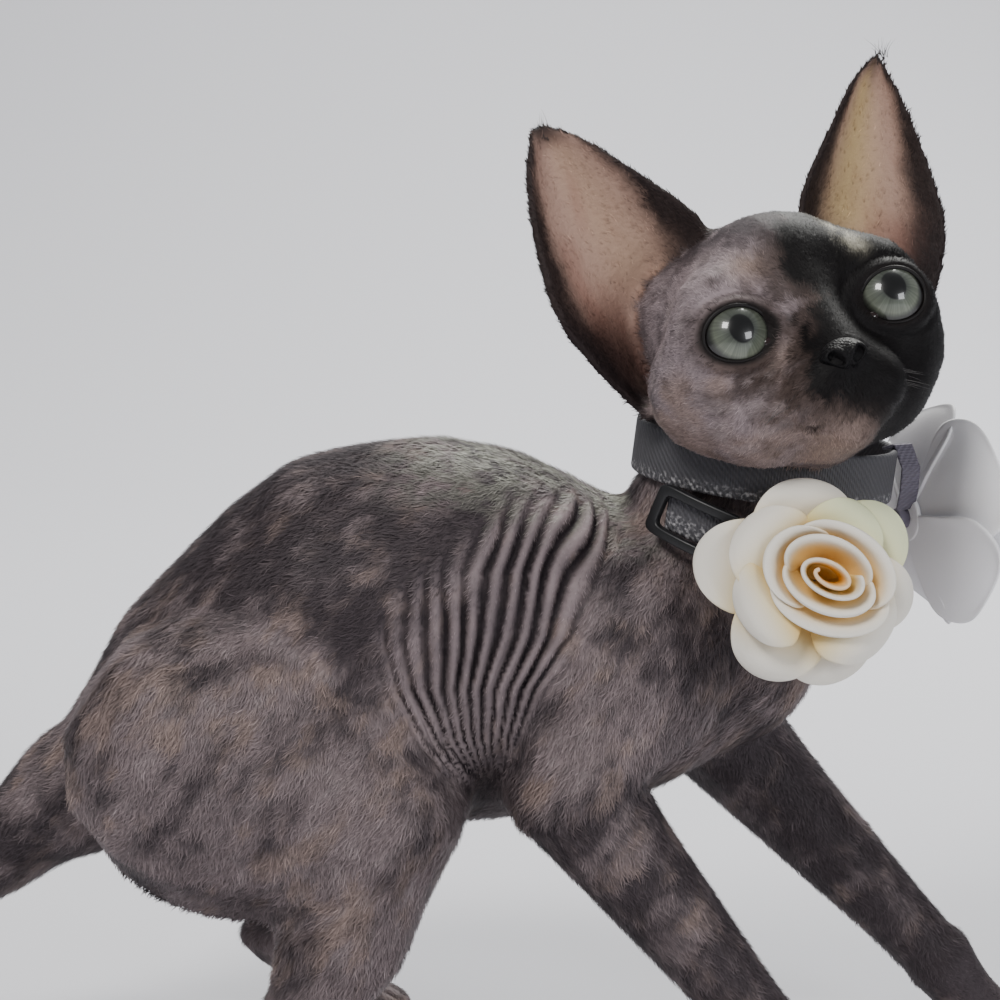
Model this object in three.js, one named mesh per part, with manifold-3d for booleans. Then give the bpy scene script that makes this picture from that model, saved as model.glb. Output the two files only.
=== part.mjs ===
// A Devon Rex kitten standing low on its legs, looking round at the viewer.
// Millimetres, +Z up, +X towards the front of the body, +Y towards the kitten's left side.
import * as THREE from 'three';
import { LoftGeometry } from 'three/addons/geometries/LoftGeometry.js';
import { mergeVertices } from 'three/addons/utils/BufferGeometryUtils.js';
import Module from 'manifold-3d';

const wasm = await Module();
wasm.setup();

// Driving dimensions of the body
const gap = 0.3;                 // space kept between pieces that touch
const blend = 9;                 // how softly limbs, neck and tail flow into the torso
const torsoBlend = 6;            // the same between the forms of one group
const thighBlend = 12;
const legBlend = 4.5;
const pawBlend = 2.6;
const tailBlend = 1.2;
const fillet = 4;                // how far a piece may swell past its own form where it meets another
const footSide = { fore: 30, hind: 34 };   // distance of the feet from the middle plane
const farForeSide = 24;
const toeRadius = 3.6;

// Driving dimensions of the head
const headCentre = new THREE.Vector3(57.3, -12, 165.1);
const headYaw = 13;              // degrees, the face turned from the side view towards the front of the body
const headPitch = 9;             // degrees, the nose lifted
const headRoll = 14.3;           // degrees, the left ear higher than the right
const viewLift = 10;             // degrees, the direction the face looks back along
const eyeRadius = 9;
const eyeCentre = new THREE.Vector3(19, 16.6, -2);
const lidThickness = 1.1;
const lidOpening = { width: 13.4, height: 11.2 };
const earThickness = { root: 1.9, tip: 0.9 };
const earSway = { right: -2.8, left: 1.6 };   // how far each tip leans outwards
const earNarrowing = { right: 0, left: 3.4 };  // how far the inner edge turns away

// Driving dimensions of the collar and its roses
const collarCentre = new THREE.Vector3(56, 0, 138.2);
const collarRadius = { along: 27, across: 25.6 };
const collarSlope = 7;           // degrees, the ring's front lower than its back
const webbing = { width: 11.3, thickness: 1.6 };
const slider = { length: 17, width: 11, bar: 2, thickness: 1.8 };
const strap = { width: 8.4, thickness: 1.4 };
const petalThickness = 0.9;
const creamRose = { centre: new THREE.Vector3(62.5, -41, 119), radius: 23.5 };
const whiteRose = { centre: new THREE.Vector3(97.5, 9, 124.5), radius: 24 };

const rad = THREE.MathUtils.degToRad;
const vec = (x, y, z) => new THREE.Vector3(x, y, z);

// Solids: a closed geometry becomes a solid, solids are joined and cut, and come back as geometry

function solidOf(geometry) {
  const bare = new THREE.BufferGeometry();
  bare.setAttribute('position', geometry.getAttribute('position'));
  bare.setIndex(geometry.getIndex());
  const merged = mergeVertices(bare, 1e-4);
  const mesh = new wasm.Mesh({
    numProp: 3,
    vertProperties: new Float32Array(merged.attributes.position.array),
    triVerts: new Uint32Array(merged.index.array),
  });
  return new wasm.Manifold(mesh);
}

function geometryOf(solid) {
  const pieces = solid.decompose().sort((a, b) => b.volume() - a.volume());
  const mesh = pieces[0].getMesh();
  const geometry = new THREE.BufferGeometry();
  geometry.setAttribute('position', new THREE.Float32BufferAttribute(mesh.vertProperties, 3));
  geometry.setIndex(new THREE.Uint32BufferAttribute(mesh.triVerts, 1));
  geometry.computeVertexNormals();
  return geometry;
}

const join = (solids) => solids.reduce((whole, solid) => whole.add(solid));
const cut = (solid, tools) => tools.reduce((rest, tool) => rest.subtract(tool), solid);

// Distance forms: each gives a point's distance to a rounded shape, negative inside

// A limb from a to b, its radius going from ra to rb, flattened across the body by flat
function limb(a, b, ra, rb, flat = 1) {
  const axis = b.clone().sub(a);
  const length2 = axis.lengthSq();
  return (p) => {
    const q = vec(p.x - a.x, (p.y - a.y) / flat, p.z - a.z);
    const along = vec(axis.x, axis.y / flat, axis.z);
    const t = THREE.MathUtils.clamp(q.dot(along) / (flat === 1 ? length2 : along.lengthSq()), 0, 1);
    const distance = q.addScaledVector(along, -t).length() - THREE.MathUtils.lerp(ra, rb, t);
    return distance * Math.min(1, flat);
  };
}

// An egg of three radii, tipped by a turn about the Y axis
function egg(centre, radii, tip = 0) {
  const c = Math.cos(rad(tip));
  const s = Math.sin(rad(tip));
  return (p) => {
    const dx = p.x - centre.x;
    const dz = p.z - centre.z;
    const q = vec((c * dx - s * dz) / radii.x, (p.y - centre.y) / radii.y, (s * dx + c * dz) / radii.z);
    const k0 = q.length();
    const k1 = vec(q.x / radii.x, q.y / radii.y, q.z / radii.z).length();
    return k1 < 1e-9 ? -Math.min(radii.x, radii.y, radii.z) : (k0 * (k0 - 1)) / k1;
  };
}

function smoothMin(a, b, k) {
  const h = Math.max(k - Math.abs(a - b), 0) / k;
  return Math.min(a, b) - (h * h * k) / 4;
}

const together = (forms, k) => (p) => forms.reduce((d, form) => smoothMin(d, form(p), k), 1e3);

// A form mirrored to the other side of the middle plane
const mirrored = (form) => (p) => form(vec(p.x, -p.y, p.z));
const bothSides = (form) => [form, mirrored(form)];

// The torso, widest at the belly, with the back arched over the loins
const torsoForms = [
  limb(vec(-84, 0, 69), vec(-58, 0, 87.5), 16.5, 28.5, 0.95),
  limb(vec(-58, 0, 87.5), vec(-32, 0, 98), 28.5, 39, 0.83),
  limb(vec(-32, 0, 98), vec(-8, 0, 100), 39, 40.5, 0.78),
  limb(vec(-8, 0, 100), vec(18, 0, 96), 40.5, 34, 0.76),
  limb(vec(18, 0, 96), vec(46, 0, 98), 34, 24, 0.88),
];

const neckForms = [limb(vec(44, 0, 112), vec(57, 0, 152), 21.6, 20.6)];

// One foreleg: shoulder, elbow, wrist and toes, given where the paw stands
function forelegForms(side, shoulder, elbow, wrist, toes) {
  const spread = [-5.4, -1.9, 1.9, 5.4];
  return {
    upper: [
      limb(vec(shoulder.x, side * 18, shoulder.z), vec(elbow.x, side * 27, elbow.z), 11, 14.2),
      egg(vec(shoulder.x - 3, side * 19, shoulder.z - 8), vec(14, 11, 20), -18),
    ],
    lower: [
      limb(vec(elbow.x + 2, side * 27, elbow.z - 1), vec(wrist.x, side * wrist.side, wrist.z), 13.6, 7.8),
    ],
    paw: [
      limb(vec(wrist.x, side * wrist.side, wrist.z), vec(toes.x - 8, side * wrist.side, 6.6), 7.9, 7.4),
      egg(vec(toes.x - 6, side * wrist.side, 5.2), vec(9.5, 8.4, 6)),
      ...spread.map((y) => egg(
        vec(toes.x + 1.6 - Math.abs(y) * 0.55, side * wrist.side + y, 4.1),
        vec(toeRadius + 2, toeRadius - 0.6, toeRadius + 0.6),
      )),
    ],
  };
}

// One hind leg, folded: hip, knee, hock and toes
function hindlegForms(side, knee, hock, toes) {
  const spread = [-5.2, -1.8, 1.8, 5.2];
  return {
    upper: [
      egg(vec(-53, side * 25, 74), vec(40, 16.5, 31), 8),
      limb(vec(-66, side * 23, 86), vec(knee.x, side * 32, knee.z), 17, 15),
    ],
    lower: [
      limb(vec(knee.x, side * 32, knee.z), vec(knee.x - 10, side * footSide.hind, 37), 15, 12.2),
      limb(vec(knee.x - 10, side * footSide.hind, 37), vec(hock.x, side * footSide.hind, hock.z), 12.2, 7.4),
    ],
    paw: [
      limb(vec(hock.x, side * footSide.hind, hock.z), vec(toes.x - 9, side * footSide.hind, 7), 7.6, 7),
      egg(vec(toes.x - 7, side * footSide.hind, 5.2), vec(10, 8.2, 5.8)),
      ...spread.map((y) => egg(
        vec(toes.x + 1.6 - Math.abs(y) * 0.5, side * footSide.hind + y, 4),
        vec(toeRadius + 2, toeRadius - 0.7, toeRadius + 0.5),
      )),
    ],
  };
}

const right = -1;
const left = 1;
const skinsOf = ({ upper, lower, paw }) => [
  together(upper, thighBlend), together(lower, legBlend), together(paw, pawBlend),
];
const legs = {
  foreRight: {
    joints: [vec(33, -18, 107), vec(16, -27, 70), vec(58, -footSide.fore, 19), vec(78, -footSide.fore, 6)],
    skins: skinsOf(forelegForms(right, { x: 33, z: 107 }, { x: 16, z: 70 },
      { x: 58, z: 19, side: footSide.fore }, { x: 76 })),
  },
  foreLeft: {
    joints: [vec(46, 18, 103), vec(50, 27, 70), vec(99, farForeSide, 20), vec(118, farForeSide, 6)],
    skins: skinsOf(forelegForms(left, { x: 46, z: 103 }, { x: 50, z: 70 },
      { x: 99, z: 20, side: farForeSide }, { x: 117 })),
  },
  hindRight: {
    joints: [vec(-66, -23, 86), vec(-23, -32, 67), vec(-47, -footSide.hind, 21), vec(-8, -footSide.hind, 6)],
    skins: skinsOf(hindlegForms(right, { x: -23, z: 67 }, { x: -47, z: 21 }, { x: -10 })),
  },
  hindLeft: {
    joints: [vec(-66, 23, 86), vec(-25, 32, 67), vec(-53, footSide.hind, 23), vec(-24, footSide.hind, 6)],
    skins: skinsOf(hindlegForms(left, { x: -25, z: 67 }, { x: -53, z: 23 }, { x: -26 })),
  },
};

// The tail leaves the rump low and levels off just above the floor
const tailPoints = [
  { at: vec(-94, 0, 64), radius: 13 },
  { at: vec(-111, 0, 50), radius: 10.4 },
  { at: vec(-132, 0, 36.5), radius: 7.6 },
  { at: vec(-160, 1, 22), radius: 5.8 },
  { at: vec(-190, 4, 13), radius: 4.6 },
  { at: vec(-216, 9, 9.5), radius: 3.6 },
  { at: vec(-236, 15, 9), radius: 2.6 },
];
const tailForms = tailPoints.slice(1).map((point, i) => (
  limb(tailPoints[i].at, point.at, tailPoints[i].radius, point.radius)
));

// The head in its own frame, X out of the face, Y to the kitten's left, Z up through the crown
const headForms = [
  egg(vec(-6, 0, 3), vec(29, 24.5, 23.6)),
  egg(vec(8, 0, 8), vec(18, 18, 16)),
  ...bothSides(egg(vec(6, 17.5, -8), vec(16, 14.5, 14.5))),
  ...bothSides(egg(vec(12, 11.5, -17), vec(13.5, 12, 11))),
  limb(vec(13, 0, -11), vec(26.5, 0, -16.5), 14.5, 9.4),
  limb(vec(22, 0, 0), vec(32.4, 0, -10), 7.6, 4.3),
  ...bothSides(limb(vec(23.5, 4, -16.5), vec(29.8, 5.8, -18.6), 8, 6.7)),
  limb(vec(8, 0, -21.5), vec(26, 0, -24.8), 9, 6),
  ...bothSides(egg(vec(15.5, 15, 7.5), vec(9.5, 10, 6.5))),
  ...bothSides(egg(vec(17.4, 16.6, -2.4), vec(11.2, 12, 10.6))),
  ...bothSides(egg(vec(-10, 16, 10), vec(11, 9, 12))),
];
const noseForm = egg(vec(34.8, 0, -13.2), vec(3.2, 4.4, 3.1));
const headBlend = 5;
const headDistance = (p) => smoothMin(together(headForms, headBlend)(p), noseForm(p), 2.5);

// The turn of the head: the face looks back along the view, then yaws, lifts and rolls
const faceBasis = new THREE.Matrix4().makeBasis(
  vec(0, -Math.cos(rad(viewLift)), Math.sin(rad(viewLift))),
  vec(1, 0, 0),
  vec(0, Math.sin(rad(viewLift)), Math.cos(rad(viewLift))),
);
const headTurn = faceBasis
  .multiply(new THREE.Matrix4().makeRotationX(rad(headRoll)))
  .multiply(new THREE.Matrix4().makeRotationZ(rad(headYaw)))
  .multiply(new THREE.Matrix4().makeRotationY(rad(-headPitch)));
const headPlace = new THREE.Matrix4().makeTranslation(headCentre.x, headCentre.y, headCentre.z)
  .multiply(headTurn);
const headInverse = headPlace.clone().invert();
const placedHead = (p) => headDistance(p.clone().applyMatrix4(headInverse));

// The whole outline of the body, and each piece as its own form let into it
const fleshGroups = [
  together(torsoForms, torsoBlend),
  together(neckForms, blend),
  together(tailForms, tailBlend),
  ...Object.values(legs).flatMap(({ skins }) => together(skins, legBlend)),
];
const wholeBody = (p) => smoothMin(together(fleshGroups, blend)(p), placedHead(p), 7);
const letInto = (own, swell = fillet) => (p) => Math.max(wholeBody(p), own(p) - swell);

// The first point out along a ray where the form reaches the given level
function skinPoint(from, direction, distance, level) {
  const coarse = 0.6;
  const furthest = 90;
  let reach = 0;
  let value = distance(from);
  while (value < level && reach < furthest) {
    reach += Math.max((level - value) * 0.7, coarse * 0.4);
    value = distance(from.clone().addScaledVector(direction, reach));
  }
  let low = Math.max(reach - coarse * 12, 0);
  let high = reach;
  for (let i = 0; i < 16; i += 1) {
    const middle = (low + high) / 2;
    if (distance(from.clone().addScaledVector(direction, middle)) < level) low = middle;
    else high = middle;
  }
  return from.clone().addScaledVector(direction, Math.max(high, 0.4));
}

// A skin drawn over a form: rings of points found outwards from a path, fanned shut at both ends
function wrap(path, rings, sides, distance, { level = 0, fans = 3, across = vec(0, 1, 0) } = {}) {
  const curve = new THREE.CatmullRomCurve3(path);
  const poleLean = 84;
  const stations = [];
  for (let i = fans; i > 0; i -= 1) stations.push({ t: 0, lean: -rad((poleLean * i) / fans) });
  for (let i = 0; i < rings; i += 1) stations.push({ t: i / (rings - 1), lean: 0 });
  for (let i = 1; i <= fans; i += 1) stations.push({ t: 1, lean: rad((poleLean * i) / fans) });
  const sections = stations.map(({ t, lean }) => {
    const centre = curve.getPointAt(t);
    const along = curve.getTangentAt(t);
    const first = across.clone().addScaledVector(along, -across.dot(along)).normalize();
    const second = along.clone().cross(first);
    return Array.from({ length: sides }, (_, j) => {
      const angle = (j / sides) * Math.PI * 2;
      const out = first.clone().multiplyScalar(Math.cos(angle) * Math.cos(lean))
        .addScaledVector(second, Math.sin(angle) * Math.cos(lean))
        .addScaledVector(along, Math.sin(lean));
      return skinPoint(centre, out, distance, level);
    });
  });
  return new LoftGeometry(sections, { capStart: true, capEnd: true });
}

// A thin plate over a grid of points, with the same triangles on both faces
function plate(pointAt, rows, columns, thicknessAt) {
  const grid = [];
  for (let i = 0; i <= rows; i += 1) {
    for (let j = 0; j <= columns; j += 1) {
      const u = i / rows;
      const v = j / columns;
      const step = 0.01;
      const centre = pointAt(u, v);
      const du = pointAt(Math.min(u + step, 1), v).sub(pointAt(Math.max(u - step, 0), v));
      const dv = pointAt(u, Math.min(v + step, 1)).sub(pointAt(u, Math.max(v - step, 0)));
      const normal = du.cross(dv).normalize();
      grid.push({ centre, normal, half: thicknessAt(u, v) / 2 });
    }
  }
  const positions = [];
  for (const side of [1, -1]) {
    for (const { centre, normal, half } of grid) {
      positions.push(...centre.clone().addScaledVector(normal, side * half).toArray());
    }
  }
  const width = columns + 1;
  const under = grid.length;
  const faces = [];
  for (let i = 0; i < rows; i += 1) {
    for (let j = 0; j < columns; j += 1) {
      const a = i * width + j;
      const b = a + 1;
      const c = a + width + 1;
      const d = a + width;
      faces.push(a, d, b, b, d, c);
      faces.push(under + a, under + b, under + d, under + b, under + c, under + d);
    }
  }
  const rim = [];
  for (let j = 0; j < columns; j += 1) rim.push(j);
  for (let i = 0; i < rows; i += 1) rim.push(i * width + columns);
  for (let j = columns; j > 0; j -= 1) rim.push(rows * width + j);
  for (let i = rows; i > 0; i -= 1) rim.push(i * width);
  rim.forEach((a, k) => {
    const b = rim[(k + 1) % rim.length];
    faces.push(a, b, under + a, b, under + b, under + a);
  });
  const geometry = new THREE.BufferGeometry();
  geometry.setAttribute('position', new THREE.Float32BufferAttribute(positions, 3));
  geometry.setIndex(faces);
  return geometry;
}

// The collar: a flat webbing ring round the neck, and a doubled strap with its slider below it

function collarPoint(angle, outwards, up) {
  const radial = vec(Math.cos(angle), Math.sin(angle), 0);
  const point = vec(
    Math.cos(angle) * collarRadius.along + radial.x * outwards,
    Math.sin(angle) * collarRadius.across + radial.y * outwards,
    up,
  );
  return point.applyAxisAngle(vec(0, 1, 0), rad(collarSlope)).add(collarCentre);
}

// A flat band following the collar's oval between two angles; a full turn closes on itself
function band({ from, to, steps, outwards, rise, width, thickness, grow = 0 }) {
  const full = Math.abs(to - from - 360) < 1e-6;
  const sections = [];
  for (let i = 0; i <= steps; i += 1) {
    const share = full ? (i % steps) / steps : i / steps;
    const angle = rad(THREE.MathUtils.lerp(from, to, share));
    const extra = full ? 0 : grow / collarRadius.along;
    const turned = angle + (i === 0 ? -extra : 0) + (i === steps && !full ? extra : 0);
    const inner = outwards - grow;
    const outer = outwards + thickness + grow;
    const half = width / 2 + grow;
    const middle = rise(share);
    sections.push([
      collarPoint(turned, inner, middle - half),
      collarPoint(turned, outer, middle - half),
      collarPoint(turned, outer, middle + half),
      collarPoint(turned, inner, middle + half),
    ].reverse());
  }
  return solidOf(new LoftGeometry(sections, { capStart: !full, capEnd: !full }));
}

const collarBand = (grow) => band({
  from: 0, to: 360, steps: 36, outwards: -webbing.thickness / 2, rise: () => 0,
  width: webbing.width, thickness: webbing.thickness, grow,
});

const strapAngles = { from: 228, to: 275 };
const strapDrop = -10.4;
const strapOut = 2.6;
const strapBand = (grow) => band({
  from: strapAngles.from, to: strapAngles.to, steps: 10, outwards: strapOut,
  rise: (share) => strapDrop - 2.4 * share, width: strap.width, thickness: strap.thickness, grow,
});

// The slider is a flat frame round the strap's end, open where the strap shows through
function sliderFrame(grow) {
  const span = slider.length / collarRadius.along / 2;
  const middle = rad(strapAngles.from) + span * 0.72;
  const cover = (inset, outer, depth) => {
    const sections = [];
    const steps = 4;
    for (let i = 0; i <= steps; i += 1) {
      const angle = middle + (span - inset / collarRadius.along) * ((2 * i) / steps - 1);
      const half = slider.width / 2 - inset;
      const low = strapOut + strap.thickness + gap + outer;
      const drop = strapDrop - 1.2;
      sections.push([
        collarPoint(angle, low, drop - half),
        collarPoint(angle, low + depth, drop - half),
        collarPoint(angle, low + depth, drop + half),
        collarPoint(angle, low, drop + half),
      ].reverse());
    }
    return solidOf(new LoftGeometry(sections, { capStart: true, capEnd: true }));
  };
  const frame = cover(-grow, -grow, slider.thickness + 2 * grow);
  return grow ? frame : cut(frame, [cover(slider.bar, -1, slider.thickness + 2)]);
}

// The body pieces, each wrapped in skin and cut clear of the piece that it grows from

const torsoPath = [
  vec(-84, 0, 68), vec(-70, 0, 79), vec(-52, 0, 90), vec(-30, 0, 97),
  vec(-6, 0, 99), vec(16, 0, 97), vec(34, 0, 97), vec(46, 0, 98),
];
const torsoSkin = together(torsoForms, torsoBlend);
const wrapTorso = (level) => solidOf(wrap(torsoPath, 13, 26, torsoSkin, { level, fans: 4 }));
const headSolid = (level) => {
  const centre = vec(2, 0, -5);
  const noseward = vec(0.93, 0, -0.37);
  const rings = 26;
  const sides = 34;
  const sections = [];
  for (let i = 0; i <= rings; i += 1) {
    const polar = Math.PI * (0.022 + 0.955 * (i / rings) ** 1.12);
    const first = vec(0, 1, 0);
    const second = noseward.clone().negate().cross(first).normalize();
    sections.push(Array.from({ length: sides }, (_, j) => {
      const angle = (j / sides) * Math.PI * 2;
      const out = first.clone().multiplyScalar(Math.cos(angle) * Math.sin(polar))
        .addScaledVector(second, Math.sin(angle) * Math.sin(polar))
        .addScaledVector(noseward, Math.cos(polar)).normalize();
      return skinPoint(centre, out, headDistance, level);
    }));
  }
  return new LoftGeometry(sections, { capStart: true, capEnd: true });
};

// A ball about the eye, for the eye itself, its socket and its lids
function eyeBall(side, radius, sides = 16) {
  const ball = new THREE.SphereGeometry(radius, sides, Math.round(sides * 0.7));
  ball.rotateZ(-Math.PI / 2);
  ball.translate(eyeCentre.x, side * eyeCentre.y, eyeCentre.z);
  return ball;
}

// The almond between the lids, drawn out along the gaze from behind the lids to in front of them
function lidGap(side) {
  const shape = new THREE.Shape();
  const w = lidOpening.width / 2;
  const h = lidOpening.height / 2;
  shape.moveTo(-w, -0.8);
  shape.bezierCurveTo(-w * 0.86, h * 0.72, -w * 0.4, h, w * 0.08, h);
  shape.bezierCurveTo(w * 0.62, h, w * 0.94, h * 0.5, w, 0.6);
  shape.bezierCurveTo(w * 0.92, -h * 0.62, w * 0.5, -h, 0, -h);
  shape.bezierCurveTo(-w * 0.5, -h, -w * 0.84, -h * 0.62, -w, -0.8);
  const almond = new THREE.ExtrudeGeometry(shape, { depth: 12, bevelEnabled: false, curveSegments: 6 });
  almond.applyMatrix4(new THREE.Matrix4().makeBasis(vec(0, 1, 0), vec(0, 0, 1), vec(1, 0, 0)));
  if (side < 0) {
    almond.scale(1, -1, 1);
    const faces = almond.index ? almond.index.array : null;
    if (faces) for (let i = 0; i < faces.length; i += 3) [faces[i], faces[i + 1]] = [faces[i + 1], faces[i]];
    else {
      const p = almond.attributes.position;
      for (let i = 0; i < p.count; i += 3) {
        const a = vec().fromBufferAttribute(p, i);
        const b = vec().fromBufferAttribute(p, i + 1);
        p.setXYZ(i, b.x, b.y, b.z);
        p.setXYZ(i + 1, a.x, a.y, a.z);
      }
    }
  }
  almond.translate(eyeCentre.x + 2, side * (eyeCentre.y + 0.2), eyeCentre.z - 0.3);
  return almond;
}

// A groove pressed into the head along directions fanned out from a point inside the muzzle
function groove(directions, radius) {
  const inside = vec(18, 0, -16);
  const points = directions.map((d) => skinPoint(inside, d.clone().normalize(), headDistance, 0.1));
  const route = new THREE.CatmullRomCurve3(points);
  const round = new THREE.Shape();
  round.absarc(0, 0, radius, 0, Math.PI * 2, false);
  return solidOf(new THREE.ExtrudeGeometry(round, {
    extrudePath: route, steps: points.length * 2, curveSegments: 3, bevelEnabled: false,
  }));
}

function buildHead() {
  const mouthHalf = (side) => [
    vec(17, 0, -5.4), vec(16, side * 3, -7), vec(12, side * 7.4, -7.6), vec(7, side * 11, -7.4),
    vec(3, side * 13, -6.6),
  ];
  const philtrum = [vec(18, 0, 1.4), vec(18, 0, -2), vec(17, 0, -5.4)];
  const nostril = (side) => {
    const hole = new THREE.SphereGeometry(1, 10, 8);
    hole.scale(1.9, 1.15, 1);
    hole.rotateX(side * 0.5);
    hole.translate(37.5, side * 2.4, -14);
    return solidOf(hole);
  };
  const skull = join([
    solidOf(headSolid(0)),
    solidOf(eyeBall(right, eyeRadius + gap + lidThickness, 16)),
    solidOf(eyeBall(left, eyeRadius + gap + lidThickness, 16)),
  ]);
  return cut(skull, [
    ...[right, left].flatMap((side) => [
      solidOf(eyeBall(side, eyeRadius + gap)),
      solidOf(lidGap(side)),
      groove(mouthHalf(side), 0.75),
      nostril(side),
    ]),
    groove(philtrum, 0.6),
  ]);
}

// An ear: a tall cup between its inner and outer edges, open to the front and hollowed behind
function earPlate(side, sway, narrowing) {
  const inner = new THREE.CatmullRomCurve3([
    vec(0, 8, 17), vec(3.5, 9.2, 26.5), vec(3, 20.4, 40.6), vec(0.4, 29.4, 50.6), vec(-2, 37, 55.6),
  ]);
  const outer = new THREE.CatmullRomCurve3([
    vec(-4, 30, -10), vec(-3, 36.5, 0), vec(-1.5, 43.4, 14), vec(-2, 44, 30), vec(-2, 42.4, 45), vec(-2, 39.6, 55.2),
  ]);
  const depth = 15;
  const pointAt = (u, v) => {
    const a = inner.getPoint(u);
    const b = outer.getPoint(u);
    const hollow = (1 - (2 * v - 1) ** 2) * (depth * (1 - u) ** 0.75 + 0.6);
    const point = a.lerp(b, v).add(vec(-hollow, -hollow * 0.16, hollow * 0.12));
    const shift = sway * u * u + narrowing * (1 - v);
    return vec(point.x, side * (point.y + shift), point.z);
  };
  const thicknessAt = (u) => THREE.MathUtils.lerp(earThickness.root, earThickness.tip, u);
  return plate(pointAt, 11, 8, thicknessAt);
}

// A rose of cloth petals in tiers round a small bud; its face looks along +Z of its own frame
function rose({ centre, radius }, facing, turnUp, tiers) {
  const solids = [];
  const bud = new THREE.SphereGeometry(radius * 0.24, 8, 6);
  bud.scale(1.25, 0.9, 1.25);
  solids.push(solidOf(bud));
  tiers.forEach(({ petals, reach, rise, curl, spread, turn, base }) => {
    for (let i = 0; i < petals; i += 1) {
      const middle = rad(turn) + (i * Math.PI * 2) / petals;
      const pointAt = (u, v) => {
        const w = 2 * v - 1;
        const narrow = 0.45 + 0.55 * Math.sin(Math.min(u * 1.25, 1) * Math.PI * 0.5);
        const angle = middle + w * rad(spread) * narrow;
        const length = u * (1 - 0.17 * w * w * u);
        const out = THREE.MathUtils.lerp(radius * 0.05, radius * reach, length);
        const lift = rise * Math.sin(length * Math.PI * 0.62) - curl * length ** 4;
        const cup = 1.8 * w * w * u;
        return vec(Math.cos(angle) * out, Math.sin(angle) * out, base + lift + cup + 1.3 * w * u);
      };
      solids.push(solidOf(plate(pointAt, 3, 4, () => petalThickness)));
    }
  });
  const turn = new THREE.Matrix4().lookAt(facing, vec(0, 0, 0), turnUp);
  const place = new THREE.Matrix4().makeTranslation(centre.x, centre.y, centre.z).multiply(turn);
  return join(solids).transform(place.toArray());
}

// Materials

function material(color, roughness, metalness = 0) {
  return new THREE.MeshStandardMaterial({ color, roughness, metalness });
}

const materials = {
  fur: material(0x4b4346, 0.85),
  faceFur: material(0x5a5055, 0.85),
  earSkin: material(0x8f7068, 0.7),
  eye: material(0x7d8a74, 0.1),
  webbing: material(0x45464c, 0.8),
  sliderPlastic: material(0x111114, 0.45),
  creamCloth: material(0xf3e8c8, 0.8),
  whiteCloth: material(0xe9e7ea, 0.8),
};

const cat = new THREE.Group();
function addPiece(name, solid, finish) {
  const piece = new THREE.Mesh(solid.isBufferGeometry ? solid : geometryOf(solid), finish);
  piece.name = name;
  cat.add(piece);
  return piece;
}

const torso = wrapTorso(0);
const torsoGrown = wrapTorso(gap);
const collarGrown = collarBand(gap + 0.1);
const toHead = (geometry) => geometry.applyMatrix4(headPlace);
const headGrown = solidOf(toHead(headSolid(gap)));
const neckPath = [vec(44, 0, 112), vec(50, 0, 130), vec(56, -4, 150)];
const neckSwell = 1.5;
const neckSkin = letInto(together(neckForms, blend), neckSwell);
const wrapNeck = (level) => solidOf(wrap(neckPath, 6, 20, neckSkin, { level }));

addPiece('torso', cut(torso, [collarGrown]), materials.fur);
addPiece('neck', cut(wrapNeck(0), [torsoGrown, headGrown, collarGrown]), materials.fur);
const neckGrown = wrapNeck(gap);
addPiece('head', cut(buildHead().transform(headPlace.toArray()), [torsoGrown, collarGrown]), materials.faceFur);

for (const [name, side] of [['right', right], ['left', left]]) {
  addPiece(`eye_${name}`, toHead(eyeBall(side, eyeRadius)), materials.eye);
  const ear = solidOf(toHead(earPlate(side, earSway[name], earNarrowing[name])));
  addPiece(`ear_${name}`, cut(ear, [headGrown, neckGrown, collarGrown]), materials.earSkin);
}

// Below the floor, to cut the soles and the tail flat
function floorBlock() {
  const block = new THREE.BoxGeometry(500, 200, 40);
  block.translate(-40, 0, -20);
  return solidOf(block);
}
const floor = floorBlock();

// The tail in three lengths
const tailLengths = [['tail_root', 0, 2], ['tail_middle', 2, 4], ['tail_tip', 4, 6]];
const tailSkin = letInto(together(tailForms, tailBlend));
tailLengths.forEach(([name, first, last]) => {
  const path = tailPoints.slice(Math.max(first - 1, 0), last + 2).map(({ at }) => at);
  let piece = cut(solidOf(wrap(path, 9, 12, tailSkin)), [torsoGrown]);
  const seam = (i) => tailPoints[i + 1].at.clone().sub(tailPoints[i - 1].at).normalize();
  if (first > 0) piece = piece.trimByPlane(seam(first).toArray(), seam(first).dot(tailPoints[first].at) + gap / 2);
  if (last < tailPoints.length - 1) {
    const back = seam(last).negate();
    piece = piece.trimByPlane(back.toArray(), back.dot(tailPoints[last].at) + gap / 2);
  }
  addPiece(name, piece, materials.fur);
});
const tailGrown = solidOf(wrap(tailPoints.slice(0, 4).map(({ at }) => at), 9, 12, tailSkin, { level: gap }));

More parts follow.
